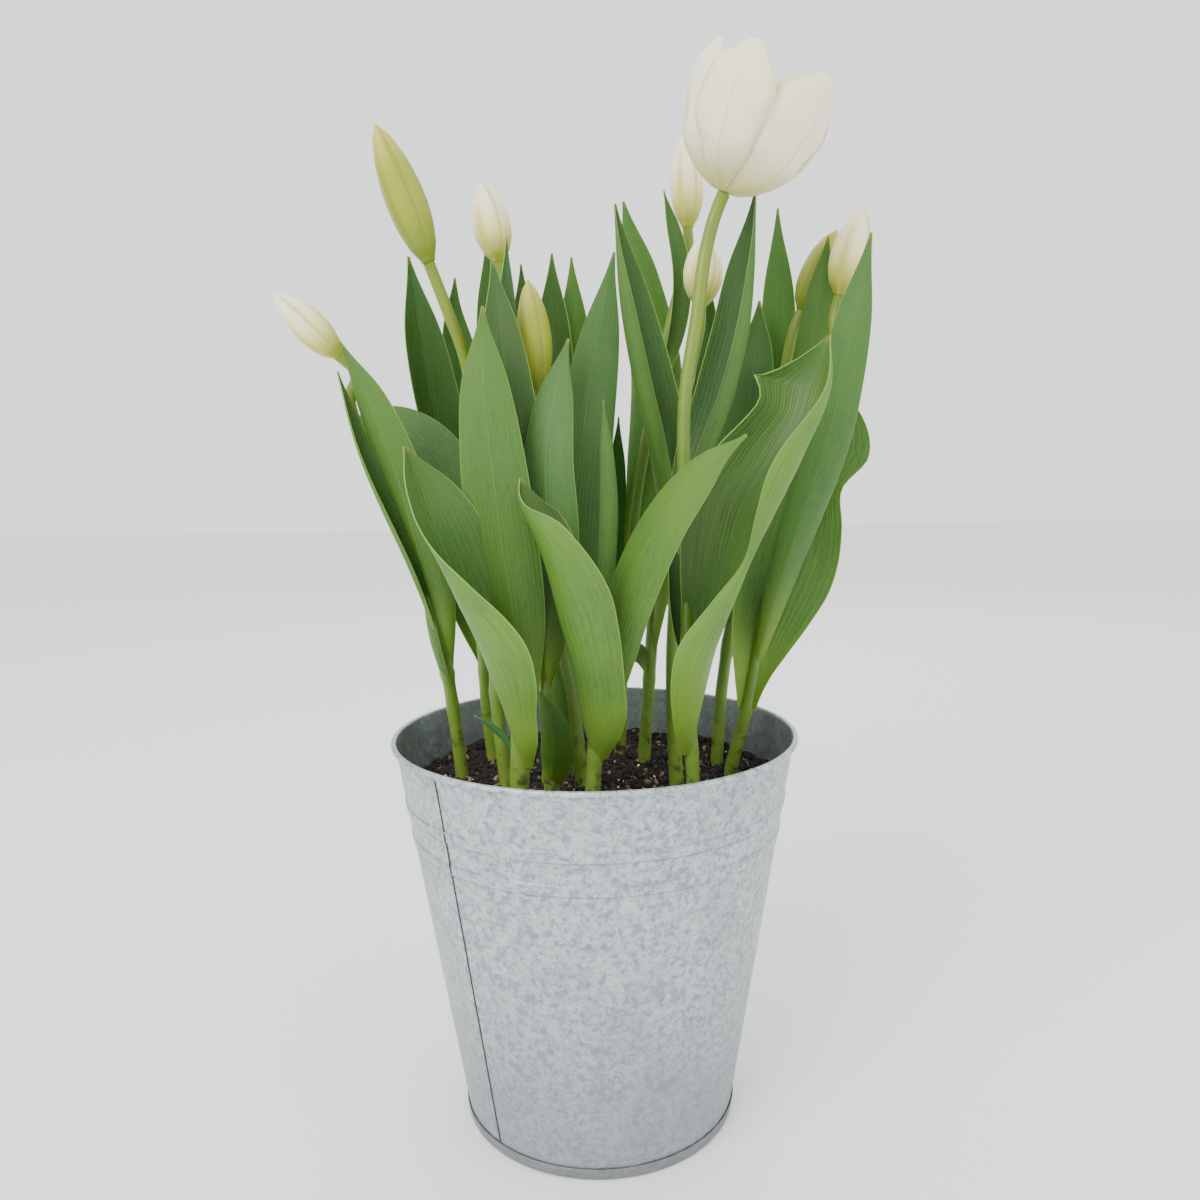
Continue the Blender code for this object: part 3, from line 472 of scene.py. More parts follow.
# Bluish and darker where the tint is below 0: the waxy bloom, and painted shade given leaf by leaf
colour = laid(tree, colour, BLOOM_AND_SHADE_GREEN, (tint, 0.0, -1.0))
colour = laid(tree, colour, BLOOM_AND_SHADE_GREEN, (cloud, 0.35, 0.7, 0.0, 0.3))
dark = add(tree, "ShaderNodeMix", {0: 1.0, 6: colour, 7: (0.52, 0.62, 0.55, 1.0)}, data_type="RGBA",
           blend_type="MULTIPLY").outputs[2]
strokes = []
for stretch, detail in (((60.0, 5.0, 1.0), 3.0), ((110.0, 26.0, 1.0), 1.0)):
    drawn = add(tree, "ShaderNodeMapping",
                {"Vector": add(tree, "ShaderNodeUVMap", uv_map="blade").outputs[0], "Scale": stretch})
    strokes.append(add(tree, "ShaderNodeTexNoise",
                       {"Vector": drawn.outputs[0], "Scale": 1.0, "Detail": detail}).outputs[0])
streak, dash = strokes
colour = laid(tree, colour, dark, (streak, 0.45, 0.7, 0.0, 0.5))
colour = laid(tree, colour, dark, (dash, 0.6, 0.66), (cloud, 0.46, 0.58))
for pattern, share in ((veins, 0.22), (fine, 0.14)):
    faint = add(tree, "ShaderNodeMath", {0: pattern, 1: share}, operation="MULTIPLY").outputs[0]
    colour = add(tree, "ShaderNodeMix", {0: faint, 6: colour, 7: dark}, data_type="RGBA").outputs[2]
colour = laid(tree, colour, dark, (speck, 0.6, 0.8, 0.0, 0.12))
colour = laid(tree, colour, LEAF_EDGE, (out, 0.02, 0.0, 0.0, 0.08))
colour = laid(tree, colour, "#75932F", (up, 0.34, 0.02, 0.0, 0.85))
colour = laid(tree, colour, "#7C7A34", (up, 0.975, 1.0, 0.0, 0.7))
colour = laid(tree, colour, LEAF_EDGE, (out, 0.49, 0.499, 0.0, 0.7))
relief = add(tree, "ShaderNodeMath", {0: veins, 1: fine}, operation="ADD").outputs[0]
coated(tree, shader, colour, relief, 0.35, 0.00025)
waxed = add(tree, "ShaderNodeMapRange",
            {0: cloud, 1: 0.3, 2: 0.7, 3: LEAF_ROUGHNESS - 0.08, 4: LEAF_ROUGHNESS + 0.08},
            interpolation_type="SMOOTHSTEP")
tree.links.new(waxed.outputs[0], shader.inputs["Roughness"])

# A tulip stem: smooth and round, lime where it leaves the soil and under the flower, with compost
# smeared on its foot
stem_skin, tree, shader = started("smooth_tulip_stem", 0.42)
fleshy(shader, 0.1, (0.004, 0.007, 0.001))
sheet_place = add(tree, "ShaderNodeUVMap", uv_map="blade").outputs[0]
up = add(tree, "ShaderNodeSeparateXYZ", {0: sheet_place}).outputs[1]
place = add(tree, "ShaderNodeTexCoord").outputs["Object"]
height = add(tree, "ShaderNodeSeparateXYZ", {0: place}).outputs[2]
cloud = add(tree, "ShaderNodeTexNoise", {"Vector": place, "Scale": 60.0, "Detail": 4.0}).outputs[0]
smear = add(tree, "ShaderNodeTexNoise",
            {"Vector": place, "Scale": 110.0, "Detail": 5.0, "Roughness": 0.7}).outputs[0]
colour = laid(tree, "#7A9236", "#5B7E22", (height, 0.19, 0.27))
colour = laid(tree, colour, "#708212", (up, 0.45, 0.9))
colour = laid(tree, colour, "#4C7426", (cloud, 0.4, 0.7, 0.0, 0.35))
colour = laid(tree, colour, "#3B2E20", (height, 0.245, 0.198), (smear, 0.5, 0.66))
coated(tree, shader, colour)


def smooth(values, share):
    """A smooth curve through evenly spaced values, read at a share of its length."""
    last = len(values) - 1
    place = min(max(share, 0.0), 1.0) * last
    start = min(int(place), last - 1)
    u = place - start
    a = values[max(start - 1, 0)]
    b = values[start]
    c = values[start + 1]
    d = values[min(start + 2, last)]
    bend = (2 * a - 5 * b + 4 * c - d) * u * u + (3 * b - a - 3 * c + d) * u ** 3
    return 0.5 * (2 * b + (c - a) * u + bend)


def along(route, share):
    """A smooth curve through the route's points, read at a share of its length."""
    places = [0.0]
    for start, end in zip(route, route[1:]):
        places.append(places[-1] + (end - start).length)
    reach = min(max(share, 0.0), 1.0) * places[-1]
    last = len(route) - 1
    leg = max(index for index in range(last) if places[index] <= reach + 1e-9)

    def heading(index):
        before = max(index - 1, 0)
        after = min(index + 1, last)
        return (route[after] - route[before]) / (places[after] - places[before])

    span = places[leg + 1] - places[leg]
    u = (reach - places[leg]) / span
    start_pull = heading(leg) * span
    end_pull = heading(leg + 1) * span
    point = route[leg] * (2 * u ** 3 - 3 * u * u + 1) + start_pull * (u ** 3 - 2 * u * u + u)
    return point + route[leg + 1] * (3 * u * u - 2 * u ** 3) + end_pull * (u ** 3 - u * u)


def blade(route, half, inner, fold, ripple=0.0, waves=2.0, outline=LANCE, tint=None,
          steps=LEAF_STEPS, strips=LEAF_STRIPS):
    """A leaf or petal as a grid of points bent along its midrib, with its tint.

    route: points of the midrib; half: widest half on the left and right of the midrib, or a side's own
    half widths from base to tip;
    inner: which way the inner face looks, round the compass, from base to tip;
    fold: how far each half has turned in at its margin, from base to tip;
    ripple: how far the margin waves in and out, waves times along the blade;
    tint: from -1, bluish and darker, partly painted shade, to 1, lighter and yellow-green, painted light as
    if lit through."""
    route = [Vector(point) for point in route]
    left_half, right_half = [side if isinstance(side, tuple) else [side * share for share in outline]
                             for side in half]
    left_fold, right_fold = fold if isinstance(fold[0], tuple) else (fold, fold)
    own = chance.uniform(0.0, 100.0)
    grid = []
    for step in range(steps + 1):
        share = step / steps
        heading = (along(route, share + 0.01) - along(route, share - 0.01)).normalized()
        facing = compass(smooth(inner, share))
        facing = (facing - heading * facing.dot(heading)).normalized()
        side = heading.cross(facing)
        centre = along(route, share)
        row = []
        for strip in range(strips + 1):
            across = 2.0 * strip / strips - 1.0
            hand = 1.0 if across >= 0 else -1.0
            width = max(smooth(right_half if across >= 0 else left_half, share), 0.5)
            turn = math.radians(smooth(right_fold if across >= 0 else left_fold, share))
            turn = min(turn, width / TIGHTEST_FOLD)
            angle = turn * abs(across)
            wave = math.sin(math.tau * waves * share + (1.9 if across > 0 else 0.0))
            wave *= ripple * across * across * math.sin(math.pi * min(share * 1.05, 1.0))
            wave += 0.035 * width * noise.noise(Vector((across * 1.2, share * 5.0, own)))
            wave -= 0.5 * math.exp(-(across / 0.09) ** 2) * min(1.0, width / 10.0)
            out = width * math.sin(angle) / turn - wave * math.sin(angle)
            rise = width * (1.0 - math.cos(angle)) / turn + wave * math.cos(angle)
            row.append(centre + side * out * hand + facing * rise)
        grid.append(row)
    return grid, chance.uniform(-0.35, 0.3) if tint is None else tint


def budding():
    """A plant's piece before it has any points: its faces, and for them what its skin needs to know."""
    return {label: [] for label in ("points", "faces", "places", "inner_face", "tint", "skins")}


def sheeted(growth, blade_grid):
    """Adds a closed sheet on a blade's grid, thinner towards its edge, with where each corner lies on it."""
    grid, tint = blade_grid
    steps = len(grid) - 1
    strips = len(grid[0]) - 1
    row = strips + 1
    base = len(growth["points"])
    under = row * (steps + 1)
    outer = []
    inner = []
    for step in range(steps + 1):
        for strip in range(row):
            ahead = grid[min(step + 1, steps)][strip] - grid[max(step - 1, 0)][strip]
            beside = grid[step][min(strip + 1, strips)] - grid[step][max(strip - 1, 0)]
            edge = abs(2.0 * strip / strips - 1.0)
            lift = ahead.cross(beside).normalized() * (LEAF_THICKNESS / 2 * (1.0 - 0.45 * edge ** 6))
            outer.append(grid[step][strip] + lift)
            inner.append(grid[step][strip] - lift)
    growth["points"] += outer + inner

    def face(corners, side):
        growth["faces"].append(tuple(base + corner for corner in corners))
        growth["places"] += [((corner % under % row) / strips, (corner % under // row) / steps)
                             for corner in corners]
        growth["inner_face"].append(side)
        growth["tint"].append(tint)
        growth["skins"].append(0)

    for step in range(steps):
        for strip in range(strips):
            a = step * row + strip
            face((a + row, a + row + 1, a + 1, a), 0.0)
            face((a + under, a + 1 + under, a + row + 1 + under, a + row + under), 1.0)
    rim = list(range(row))
    rim += [step * row + strips for step in range(1, steps + 1)]
    rim += [steps * row + strip for strip in range(strips - 1, -1, -1)]
    rim += [step * row for step in range(steps - 1, 0, -1)]
    for here, there in zip(rim, rim[1:] + rim[:1]):
        face((here, there, there + under, here + under), 0.0)


def stalked(growth, root, route, radii, end, nodes):
    """Adds the round stem, with a low swelling at each height where a leaf clasps it."""
    foot = Vector((*root, BULB_TOP))
    line = [Vector((*root, ROOT_TOP))] + route
    centres = [foot] + [along(line, step / STEM_STEPS) for step in range(STEM_STEPS + 1)]
    if end:
        centres[-1] = centres[-1] + end * (2 * GAP)
    headings = [upright, upright]
    for step in range(1, STEM_STEPS):
        ahead = along(line, (step + 0.5) / STEM_STEPS)
        headings.append((ahead - along(line, (step - 0.5) / STEM_STEPS)).normalized())
    headings.append(end or (line[-1] - line[-2]).normalized())
    base = len(growth["points"])
    across = Vector((1.0, 0.0, 0.0))
    for count, (centre, heading) in enumerate(zip(centres, headings)):
        share = max(count - 1, 0) / STEM_STEPS
        radius = radii[0] + (radii[1] - radii[0]) * share
        radius += sum(0.5 * math.exp(-((centre.z - node) / 3.5) ** 2) for node in nodes)
        across = (across - heading * across.dot(heading)).normalized()
        beside = heading.cross(across)
        for side in range(STEM_SIDES):
            angle = math.tau * side / STEM_SIDES
            growth["points"].append(centre + across * (radius * math.cos(angle))
                                    + beside * (radius * math.sin(angle)))
    rows = len(centres)
    faces, ends = tube(rows, STEM_SIDES, base)
    growth["faces"] += faces + ends
    for corner in [corner - base for face in faces for corner in face]:
        growth["places"].append(((corner % STEM_SIDES) / STEM_SIDES, (corner // STEM_SIDES) / rows))
    growth["places"] += [(0.5, 0.0)] * STEM_SIDES + [(0.5, 1.0)] * STEM_SIDES
    added = len(faces + ends)
    growth["inner_face"] += [0.0] * added
    growth["tint"] += [0.0] * added
    growth["skins"] += [1] * added


def grown(name, growth, skins, node):
    """A plant's piece, carrying where each corner lies on its leaf, which faces are inner ones, and tints."""
    piece = made(name, growth["points"], growth["faces"], skins[0], node)
    mesh = piece.data
    for skin in skins[1:]:
        mesh.materials.append(skin)
    mesh.set_sharp_from_angle(angle=math.radians(80))
    mesh.polygons.foreach_set("material_index", growth["skins"])
    layer = mesh.uv_layers.new(name="blade")
    layer.data.foreach_set("uv", [number for place in growth["places"] for number in place])
    for label in ("inner_face", "tint"):
        mesh.attributes.new(label, "FLOAT", "FACE").data.foreach_set("value", growth[label])


def tulip(number, root, stem, leaves, radii=(3.8, 3.0), flower=None):
    """One plant: its stem and leaves, and its bud where it has one.

    flower: the bud's base, its tip, its radius and its skin."""
    route = [Vector(point) for point in stem]
    end = None
    if flower:
        base, tip = Vector(flower[0]), Vector(flower[1])
        end = (tip - base).normalized()
        route += [base - end * 12.0, base]
    growth = budding()
    for leaf in leaves:
        sheeted(growth, leaf)
    stalked(growth, root, route, radii, end, [grid[0][LEAF_STRIPS // 2].z for grid, _ in leaves])
    grown(f"tulip_{number:02d}_stem_and_leaves", growth, (leaf_skin, stem_skin), f"stem_{number:02d}")
    if flower and flower[2]:
        bud(number, base, tip, flower[2], flower[3])


# The closed buds: three thick outer petals wrapped round three inner ones, each with a low rib down its
# middle. They are green while small, and turn cream from the tip down before they open.
BUD_SIDES = 72
BUD_STEPS = 48
BUD_PROFILE = ((0.0, 0.34), (0.12, 0.7), (0.3, 0.96), (0.5, 1.0), (0.72, 0.82), (0.9, 0.46), (1.0, 0.12))


def bud_skin(name, tip_colour, body_colour, foot_colour, rib_colour, turns_at):
    """A bud's petals: cream from the tip down to turns_at of its length, green below and along the ribs."""
    skin, tree, shader = started(name, 0.45)
    fleshy(shader, 0.2, (0.006, 0.005, 0.002))
    across, up, out = on_blade(tree)
    inner = add(tree, "ShaderNodeAttribute", attribute_name="inner_face").outputs["Fac"]
    fine = ribbed(tree, across, up, 11.0)
    colour = laid(tree, body_colour, tip_colour, (up, turns_at - 0.25, turns_at + 0.3))
    colour = laid(tree, colour, foot_colour, (up, 0.5, 0.0))
    colour = laid(tree, colour, rib_colour, (out, 0.2, 0.0), (up, 1.0, 0.35, 0.1, 0.8))
    colour = laid(tree, colour, rib_colour, (fine, 0.0, 1.0, 0.0, 0.16))
    colour = laid(tree, colour, foot_colour, (inner, 0.0, 1.0, 0.0, 0.4))
    coated(tree, shader, colour, fine, 0.3, 0.0002)
    return skin


# Petal skin still closed: satin and faintly ribbed; cream ones, and ones that are green nearly to the tip
BUD_CREAM = bud_skin("cream_bud_petal", "#FFF6D4", "#EAE092", "#8F9A1C", "#BDB848", 0.5)
BUD_GREEN = bud_skin("green_bud_petal", "#D4BE60", "#98A01C", "#72840E", "#6E7E10", 0.85)


def bud(number, base, tip, radius, skin):
    """A closed bud on its stem, its outer petals' edges standing a little proud of the inner ones."""
    length = (tip - base).length
    heading = (tip - base) / length
    across = Vector((1.0, 0.0, 0.0))
    across = (across - heading * across.dot(heading)).normalized()
    beside = heading.cross(across)
    growth = budding()
    shares, widths = zip(*BUD_PROFILE)
    lean = chance.uniform(-0.25, 0.25)
    marks = []
    for step in range(BUD_STEPS + 1):
        share = step / BUD_STEPS
        leg = max(index for index in range(len(shares) - 1) if shares[index] <= share)
        part = (share - shares[leg]) / (shares[leg + 1] - shares[leg])
        reach = radius * smooth(widths, (leg + part) / (len(widths) - 1))
        centre = base + heading * (GAP + (length - GAP) * share)
        for side in range(BUD_SIDES):
            angle = math.tau * side / BUD_SIDES
            local = (angle + lean * share + math.pi / 3) % (math.tau / 3) - math.pi / 3
            petal_half = math.radians(56) * (1.0 - 0.25 * share ** 3)
            outer = 1.0 / (1.0 + math.exp((abs(local) - petal_half) * 40))
            ridge = math.exp(-(local / 0.16) ** 2)
            swell = 1.0 + 0.05 * math.cos(3.0 * local) + 0.035 * outer + 0.03 * ridge
            around = reach * swell * min(1.0, (1.02 - share) * 9.0 + 0.35)
            growth["points"].append(centre + across * (around * math.cos(angle))
                                    + beside * (around * math.sin(angle)))
            across_it = 0.5 + 0.5 * local / petal_half if abs(local) < petal_half else 1.0
            marks.append((across_it, share, 1.0 - outer))
    faces, ends = tube(BUD_STEPS + 1, BUD_SIDES)
    growth["faces"] = faces + ends
    growth["places"] = [marks[corner][:2] for face in faces for corner in face]
    growth["places"] += [(0.5, 0.0)] * BUD_SIDES + [(0.5, 1.0)] * BUD_SIDES
    growth["inner_face"] = [marks[face[0]][2] for face in faces] + [0.0, 0.0]
    growth["tint"] = [0.0] * len(growth["faces"])
    growth["skins"] = [0] * len(growth["faces"])
    grown(f"tulip_{number:02d}_bud", growth, (skin,), f"bud_{number:02d}")


# The thirteen plants, each from its own bulb. A leaf's midrib starts on its stem, where its foot clasps
# it, and the front leaves are folded, waved and turned the way the photograph shows them.
BLOOM_BASE = (68, -44, 505)
BLOOM_TOP = (91, -54, 562)

# Far left plant: its bud leans well out over the rim
tulip(1, root=(-78, 7),
      stem=[(-82, 3, 242), (-86, -5, 277), (-93, -12, 309), (-106, -20, 345), (-117, -28, 383),
            (-124, -34, 408)],
      flower=((-127, -38, 430), (-155, -50, 460), 8.2, BUD_CREAM),
      leaves=[
          blade([(-83, 1, 257), (-86, -12, 292), (-92, -24, 327), (-97, -36, 357), (-103, -44, 382),
                 (-111, -48, 407), (-124, -48, 436)],
                half=(16, 17), inner=(60, 60, 50), fold=(90, 60, 30, 20), tint=-0.1),
          blade([(-84, -1, 258), (-90, -11, 290), (-98, -21, 320), (-109, -29, 351), (-119, -37, 383),
                 (-127, -44, 422)],
                half=(8, 8), inner=(-30, -30, -30), fold=(110, 100, 60)),
          blade([(-82, 4, 237), (-86, 2, 253), (-91, -6, 277), (-93, -14, 305)],
                half=(9, 8), inner=(0, 20), fold=(80, 60)),
      ])

# Back left plant, still without a bud
tulip(2, root=(-64, 47),
      stem=[(-67, 46, 230), (-68, 42, 293), (-70, 40, 342)],
      leaves=[
          blade([(-68, 45, 262), (-72, 52, 317), (-74, 58, 372), (-77, 58, 426), (-80, 54, 461),
                 (-78, 48, 484)],
                half=(15, 15), inner=(-60, -70), fold=(70, 40, 20)),
          blade([(-68, 44, 268), (-57, 62, 316), (-46, 76, 371), (-38, 84, 415), (-31, 88, 453)],
                half=(18, 18), inner=(200, 220), fold=(70, 40, 20)),
          blade([(-67, 46, 249), (-81, 62, 291), (-90, 76, 341), (-96, 84, 385)],
                half=(17, 17), inner=(-60, -60), fold=(70, 40, 20)),
      ])

# Left plant with the tall ribbed bud
tulip(3, root=(-51, -8),
      stem=[(-55, -8, 243), (-54, -12, 300), (-58, -18, 382), (-65, -22, 429), (-73, -26, 454)],
      flower=((-81, -30, 477), (-102, -48, 539), 9.6, BUD_GREEN),
      radii=(4.0, 3.0),
      leaves=[
          blade([(-55, -8, 248), (-64, 2, 298), (-75, 10, 344), (-85, 14, 389), (-92, 10, 438),
                 (-97, 2, 487)],
                half=(18, 18), inner=(-10, -40, -60), fold=(90, 60, 45, 30)),
          blade([(-54, -9, 266), (-57, -16, 301), (-65, -18, 334), (-74, -14, 361), (-89, -6, 384),
                 (-111, 4, 398), (-136, 12, 401)],
                half=(17, 19), inner=(90, 90, 90, 80), fold=(60, 30, 15, 10, 10), ripple=1.5),
          blade([(-54, -12, 300), (-53, 4, 343), (-52, 14, 399), (-53, 14, 449), (-55, 8, 497)],
                half=(12, 12), inner=(-120, -100), fold=(70, 40, 20)),
      ])

# Front left plant: the big upright leaf and the folded leaf beside it
tulip(4, root=(-40, -60),
      stem=[(-38, -61, 255), (-43, -50, 305), (-46, -38, 345), (-46, -28, 387), (-46, -18, 434)],
      flower=((-47, -10, 481), (-55, -14, 521), 9.4, BUD_CREAM),
      radii=(5, 3),
      leaves=[
          blade([(-37, -62, 233), (-37, -66, 261), (-39, -72, 298), (-44, -74, 337), (-48, -74, 376),
                 (-51, -70, 414), (-51, -62, 450)],
                half=(18, 18), inner=(75, 80, 80), fold=(60, 35, 25, 20), tint=-0.05),
          blade([(-38, -61, 221), (-44, -72, 250), (-52, -82, 280), (-63, -86, 310), (-74, -86, 339),
                 (-82, -82, 362), (-89, -75, 383)],
                half=((9, 17, 22, 30, 35, 32, 24, 16, 12, 8, 1), (8, 16, 22, 26, 29, 30, 30, 29, 25, 16, 1)),
                inner=(15, 10, 0, -15, -30, -35),
                fold=((80, 100, 105, 80, 20, 15), (60, 70, 75, 70, 60, 50)), tint=0.45),
          blade([(-39, -60, 214), (-44, -59, 230), (-52, -60, 240), (-61, -62, 247)],
                half=(2.5, 2.5), inner=(60, 60), fold=(60, 40), tint=-1.0),
          blade([(-43, -50, 305), (-43, -42, 346), (-44, -37, 392), (-43, -33, 438), (-41, -30, 489)],
                half=(8, 8), inner=(-60, -50), fold=(70, 50, 30)),
      ])

# Plant of the small green bud among the leaves
tulip(5, root=(-24, -28),
      stem=[(-26, -28, 247), (-27, -26, 301), (-28, -24, 355), (-28, -22, 387)],
      flower=((-27, -20, 413), (-31, -24, 469), 8.6, BUD_GREEN),
      radii=(4.0, 3.2),
      leaves=[
          blade([(-26, -29, 199), (-22, -38, 215), (-22, -43, 236), (-29, -42, 255)],
                half=((7, 11, 11, 9, 5, 1), (6, 9, 10, 9, 6, 1)), inner=(80, 80), fold=(60, 40), tint=0.3),
          blade([(-26, -28, 247), (-26, -40, 303), (-31, -51, 346), (-39, -50, 396), (-44, -44, 441),
                 (-48, -38, 477)],
                half=(15, 15), inner=(-70, -80, -80), fold=(60, 40, 30)),
          blade([(-27, -28, 252), (-21, -50, 304), (-21, -62, 341), (-22, -62, 376), (-17, -54, 410),
                 (-10, -46, 436)],
                half=(15, 15), inner=(60, 70, 80), fold=(70, 40, 25), tint=-0.4),
          blade([(-28, -26, 312), (-30, -8, 355), (-33, 0, 409), (-35, 2, 447), (-36, 2, 482)],
                half=(10, 10), inner=(-90, -90), fold=(60, 40)),
      ])

# Middle plant, leaves only
tulip(6, root=(-8, -14),
      stem=[(-12, -14, 243), (-18, -14, 277), (-22, -14, 322)],
      leaves=[
          blade([(-10, -14, 209), (-15, -12, 243), (-23, -10, 277), (-34, -6, 311)],
                half=(13, 13), inner=(120, 110), fold=(60, 40)),
          blade([(-12, -14, 220), (-10, -12, 277), (-10, -8, 332), (-5, 0, 382), (3, 6, 431),
                 (15, 8, 489)],
                half=(18, 18), inner=(80, 75, 70), fold=(60, 35, 25), tint=-0.4),
          blade([(-18, -14, 277), (-19, 14, 331), (-20, 26, 382), (-20, 30, 440), (-20, 28, 493)],
                half=(15, 15), inner=(-90, -90), fold=(60, 45)),
          blade([(-20, -14, 300), (-15, 22, 342), (-10, 36, 394), (-8, 38, 446), (-9, 34, 492)],
                half=(13, 13), inner=(100, 100), fold=(60, 40)),
      ])

# Front middle plant: the folded leaf and the one that leans right
tulip(7, root=(-2, -55),
      stem=[(2, -56, 253), (6, -56, 295), (7, -54, 335)],
      radii=(4.2, 3.0),
      leaves=[
          blade([(-1, -55, 223), (-5, -70, 251), (-10, -86, 285), (-17, -94, 312), (-24, -96, 335),
                 (-31, -92, 352), (-33, -86, 367)],
                half=((9, 18, 24, 25, 26, 28, 30, 29, 24, 10, 1), (9, 18, 24, 27, 29, 30, 31, 30, 27, 19, 1)),
                inner=(30, 35, 35, 25, -5, -40),
                fold=((80, 85, 90, 95, 90, 20), (60, 70, 75, 80, 70, 40)), tint=0.35),
          blade([(1, -55, 234), (6, -66, 260), (14, -78, 303), (30, -90, 342), (51, -102, 370),
                 (70, -110, 385)],
                half=(15, 15), inner=(60, 50, 40), fold=(60, 40, 30), tint=0.35),
          blade([(4, -56, 279), (7, -58, 315), (9, -56, 355), (7, -50, 405)],
                half=(5, 5), inner=(90, 90), fold=(50, 40)),
      ])

# Back middle plant, its bud behind the bloom
tulip(8, root=(16, 56),
      stem=[(20, 56, 290), (30, 56, 364), (43, 56, 430), (53, 56, 471)],
      flower=((60, 56, 512), (58, 56, 566), 9.2, BUD_CREAM),
      leaves=[
          blade([(16, 56, 227), (13, 62, 289), (13, 66, 339), (18, 66, 403)],
                half=(10, 10), inner=(-60, -60), fold=(50, 40)),
          blade([(22, 56, 303), (34, 62, 364), (41, 66, 425), (32, 62, 478), (22, 56, 528)],
                half=(18, 18), inner=(80, 80), fold=(60, 40)),
          blade([(40, 56, 412), (53, 50, 453), (55, 44, 486), (45, 42, 530)],
                half=(6, 6), inner=(-90, -90), fold=(60, 40)),
          blade([(18, 56, 265), (8, 80, 313), (0, 96, 364), (0, 104, 416)],
                half=(17, 17), inner=(-90, -90), fold=(60, 30)),
      ])

# Plant behind the bloom's stem, with a white bud
tulip(9, root=(30, 33),
      stem=[(33, 33, 238), (37, 30, 293), (45, 26, 364), (58, 22, 426)],
      flower=((64, 22, 462), (66, 24, 501), 10.5, BUD_CREAM),
      leaves=[
          blade([(34, 32, 246), (27, 24, 262), (17, 14, 264), (8, 6, 250)],
                half=(6, 6), inner=(-45, -50), fold=(20, 12)),
          blade([(35, 32, 260), (38, 20, 300), (39, 6, 342), (33, -6, 381), (25, -12, 418),
                 (18, -14, 460), (15, -14, 509)],
                half=(16, 25), inner=(0, -10, -30, -35, -35),
                fold=((90, 120, 165, 170, 80), (60, 80, 90, 80, 40))),
          blade([(43, 28, 341), (60, 50, 388), (73, 62, 430), (70, 61, 470), (66, 51, 502)],
                half=(9, 9), inner=(-90, -90), fold=(60, 40)),
          blade([(36, 33, 281), (55, 62, 327), (70, 82, 376), (79, 92, 427)],
                half=(17, 17), inner=(-90, -90), fold=(60, 30)),
      ])

# Thin front plant, leaves only
tulip(10, root=(45, -24),
      stem=[(43, -25, 251), (45, -24, 300), (54, -10, 343), (69, 0, 392), (81, 6, 435)],
      radii=(4.0, 3.0),
      leaves=[
          blade([(45, -24, 300), (68, 0, 342), (87, 16, 392), (95, 20, 437), (97, 20, 464)],
                half=(16, 16), inner=(-100, -100), fold=(60, 30)),
      ])

# Plant of the open bloom, with the big waved leaf
tulip(11, root=(52, -52),
      stem=[(49, -54, 252), (48, -56, 304), (47, -54, 374), (48, -52, 407), (54, -50, 444),
            (58, -48, 473)],
      flower=(BLOOM_BASE, BLOOM_TOP, None, None),
      radii=(3.6, 3.3),
      leaves=[
          blade([(50, -53, 224), (55, -64, 256), (61, -74, 285), (71, -84, 315), (83, -90, 346),
                 (96, -92, 377), (110, -90, 406), (112, -86, 431)],
                half=((9, 15, 21, 28, 36, 43, 46, 39, 30, 37, 1), (9, 18, 26, 29, 18, 6, 16, 27, 19, 8, 1)),
                inner=(165, 175, 190, 203, 210, 212),
                fold=((60, 70, 80, 90, 95, 70), (90, 110, 130, 130, 110, 70)), tint=0.45),
          blade([(49, -55, 283), (53, -44, 323), (61, -34, 370), (74, -30, 406), (83, -28, 447),
                 (87, -26, 511)],
                half=(22, 14), inner=(190, 200, 215, 215),
                fold=((60, 80, 80, 40), (120, 165, 170, 80))),
          blade([(49, -55, 268), (46, -50, 282), (44, -50, 303), (42, -48, 334)],
                half=(6, 6), inner=(-90, -90), fold=(90, 60)),
      ])

# Back right plant with a green bud
tulip(12, root=(74, 29),
      stem=[(77, 30, 238), (85, 28, 293), (97, 24, 352), (109, 20, 409)],
      flower=((120, 16, 457), (139, 16, 501), 9.5, BUD_GREEN),
      leaves=[
          blade([(79, 29, 262), (92, 36, 316), (103, 36, 381), (108, 30, 444), (107, 20, 514)],
                half=(14, 14), inner=(70, 60, 60), fold=(60, 40, 30)),
          blade([(93, 25, 326), (111, 14, 369), (120, 6, 413), (125, 2, 450), (131, 1, 494)],
                half=(14, 13), inner=(70, 60, 60), fold=(60, 40, 30)),
          blade([(80, 29, 269), (104, 56, 314), (126, 72, 363), (132, 76, 406)],
                half=(16, 16), inner=(-90, -90), fold=(60, 30)),
      ])

# Right plant, with the wide waved leaf behind it
tulip(13, root=(79, 4),
      stem=[(88, 0, 238), (96, -8, 286), (105, -14, 321), (114, -18, 357), (123, -20, 385),
            (132, -14, 438)],
      flower=((135, -10, 461), (146, -14, 505), 10.5, BUD_CREAM),
      leaves=[
          blade([(90, -1, 250), (98, -20, 293), (111, -32, 343), (122, -42, 384), (131, -48, 433),
                 (141, -48, 485)],
                half=(14, 14), inner=(80, 80, 80), fold=(90, 80, 45, 30), tint=-0.35),
          blade([(87, 0, 234), (92, -4, 263), (101, -4, 299), (111, -4, 330), (120, -6, 362),
                 (128, -10, 396), (134, -14, 418)],
                half=((6, 12, 19, 22, 23, 22, 21, 20, 18, 12, 1), (6, 10, 17, 24, 29, 29, 25, 19, 28, 21, 1)),
                inner=(-90, -95, -100), fold=(50, 20, 10), ripple=2.0, waves=1.5, tint=0.8),
      ])


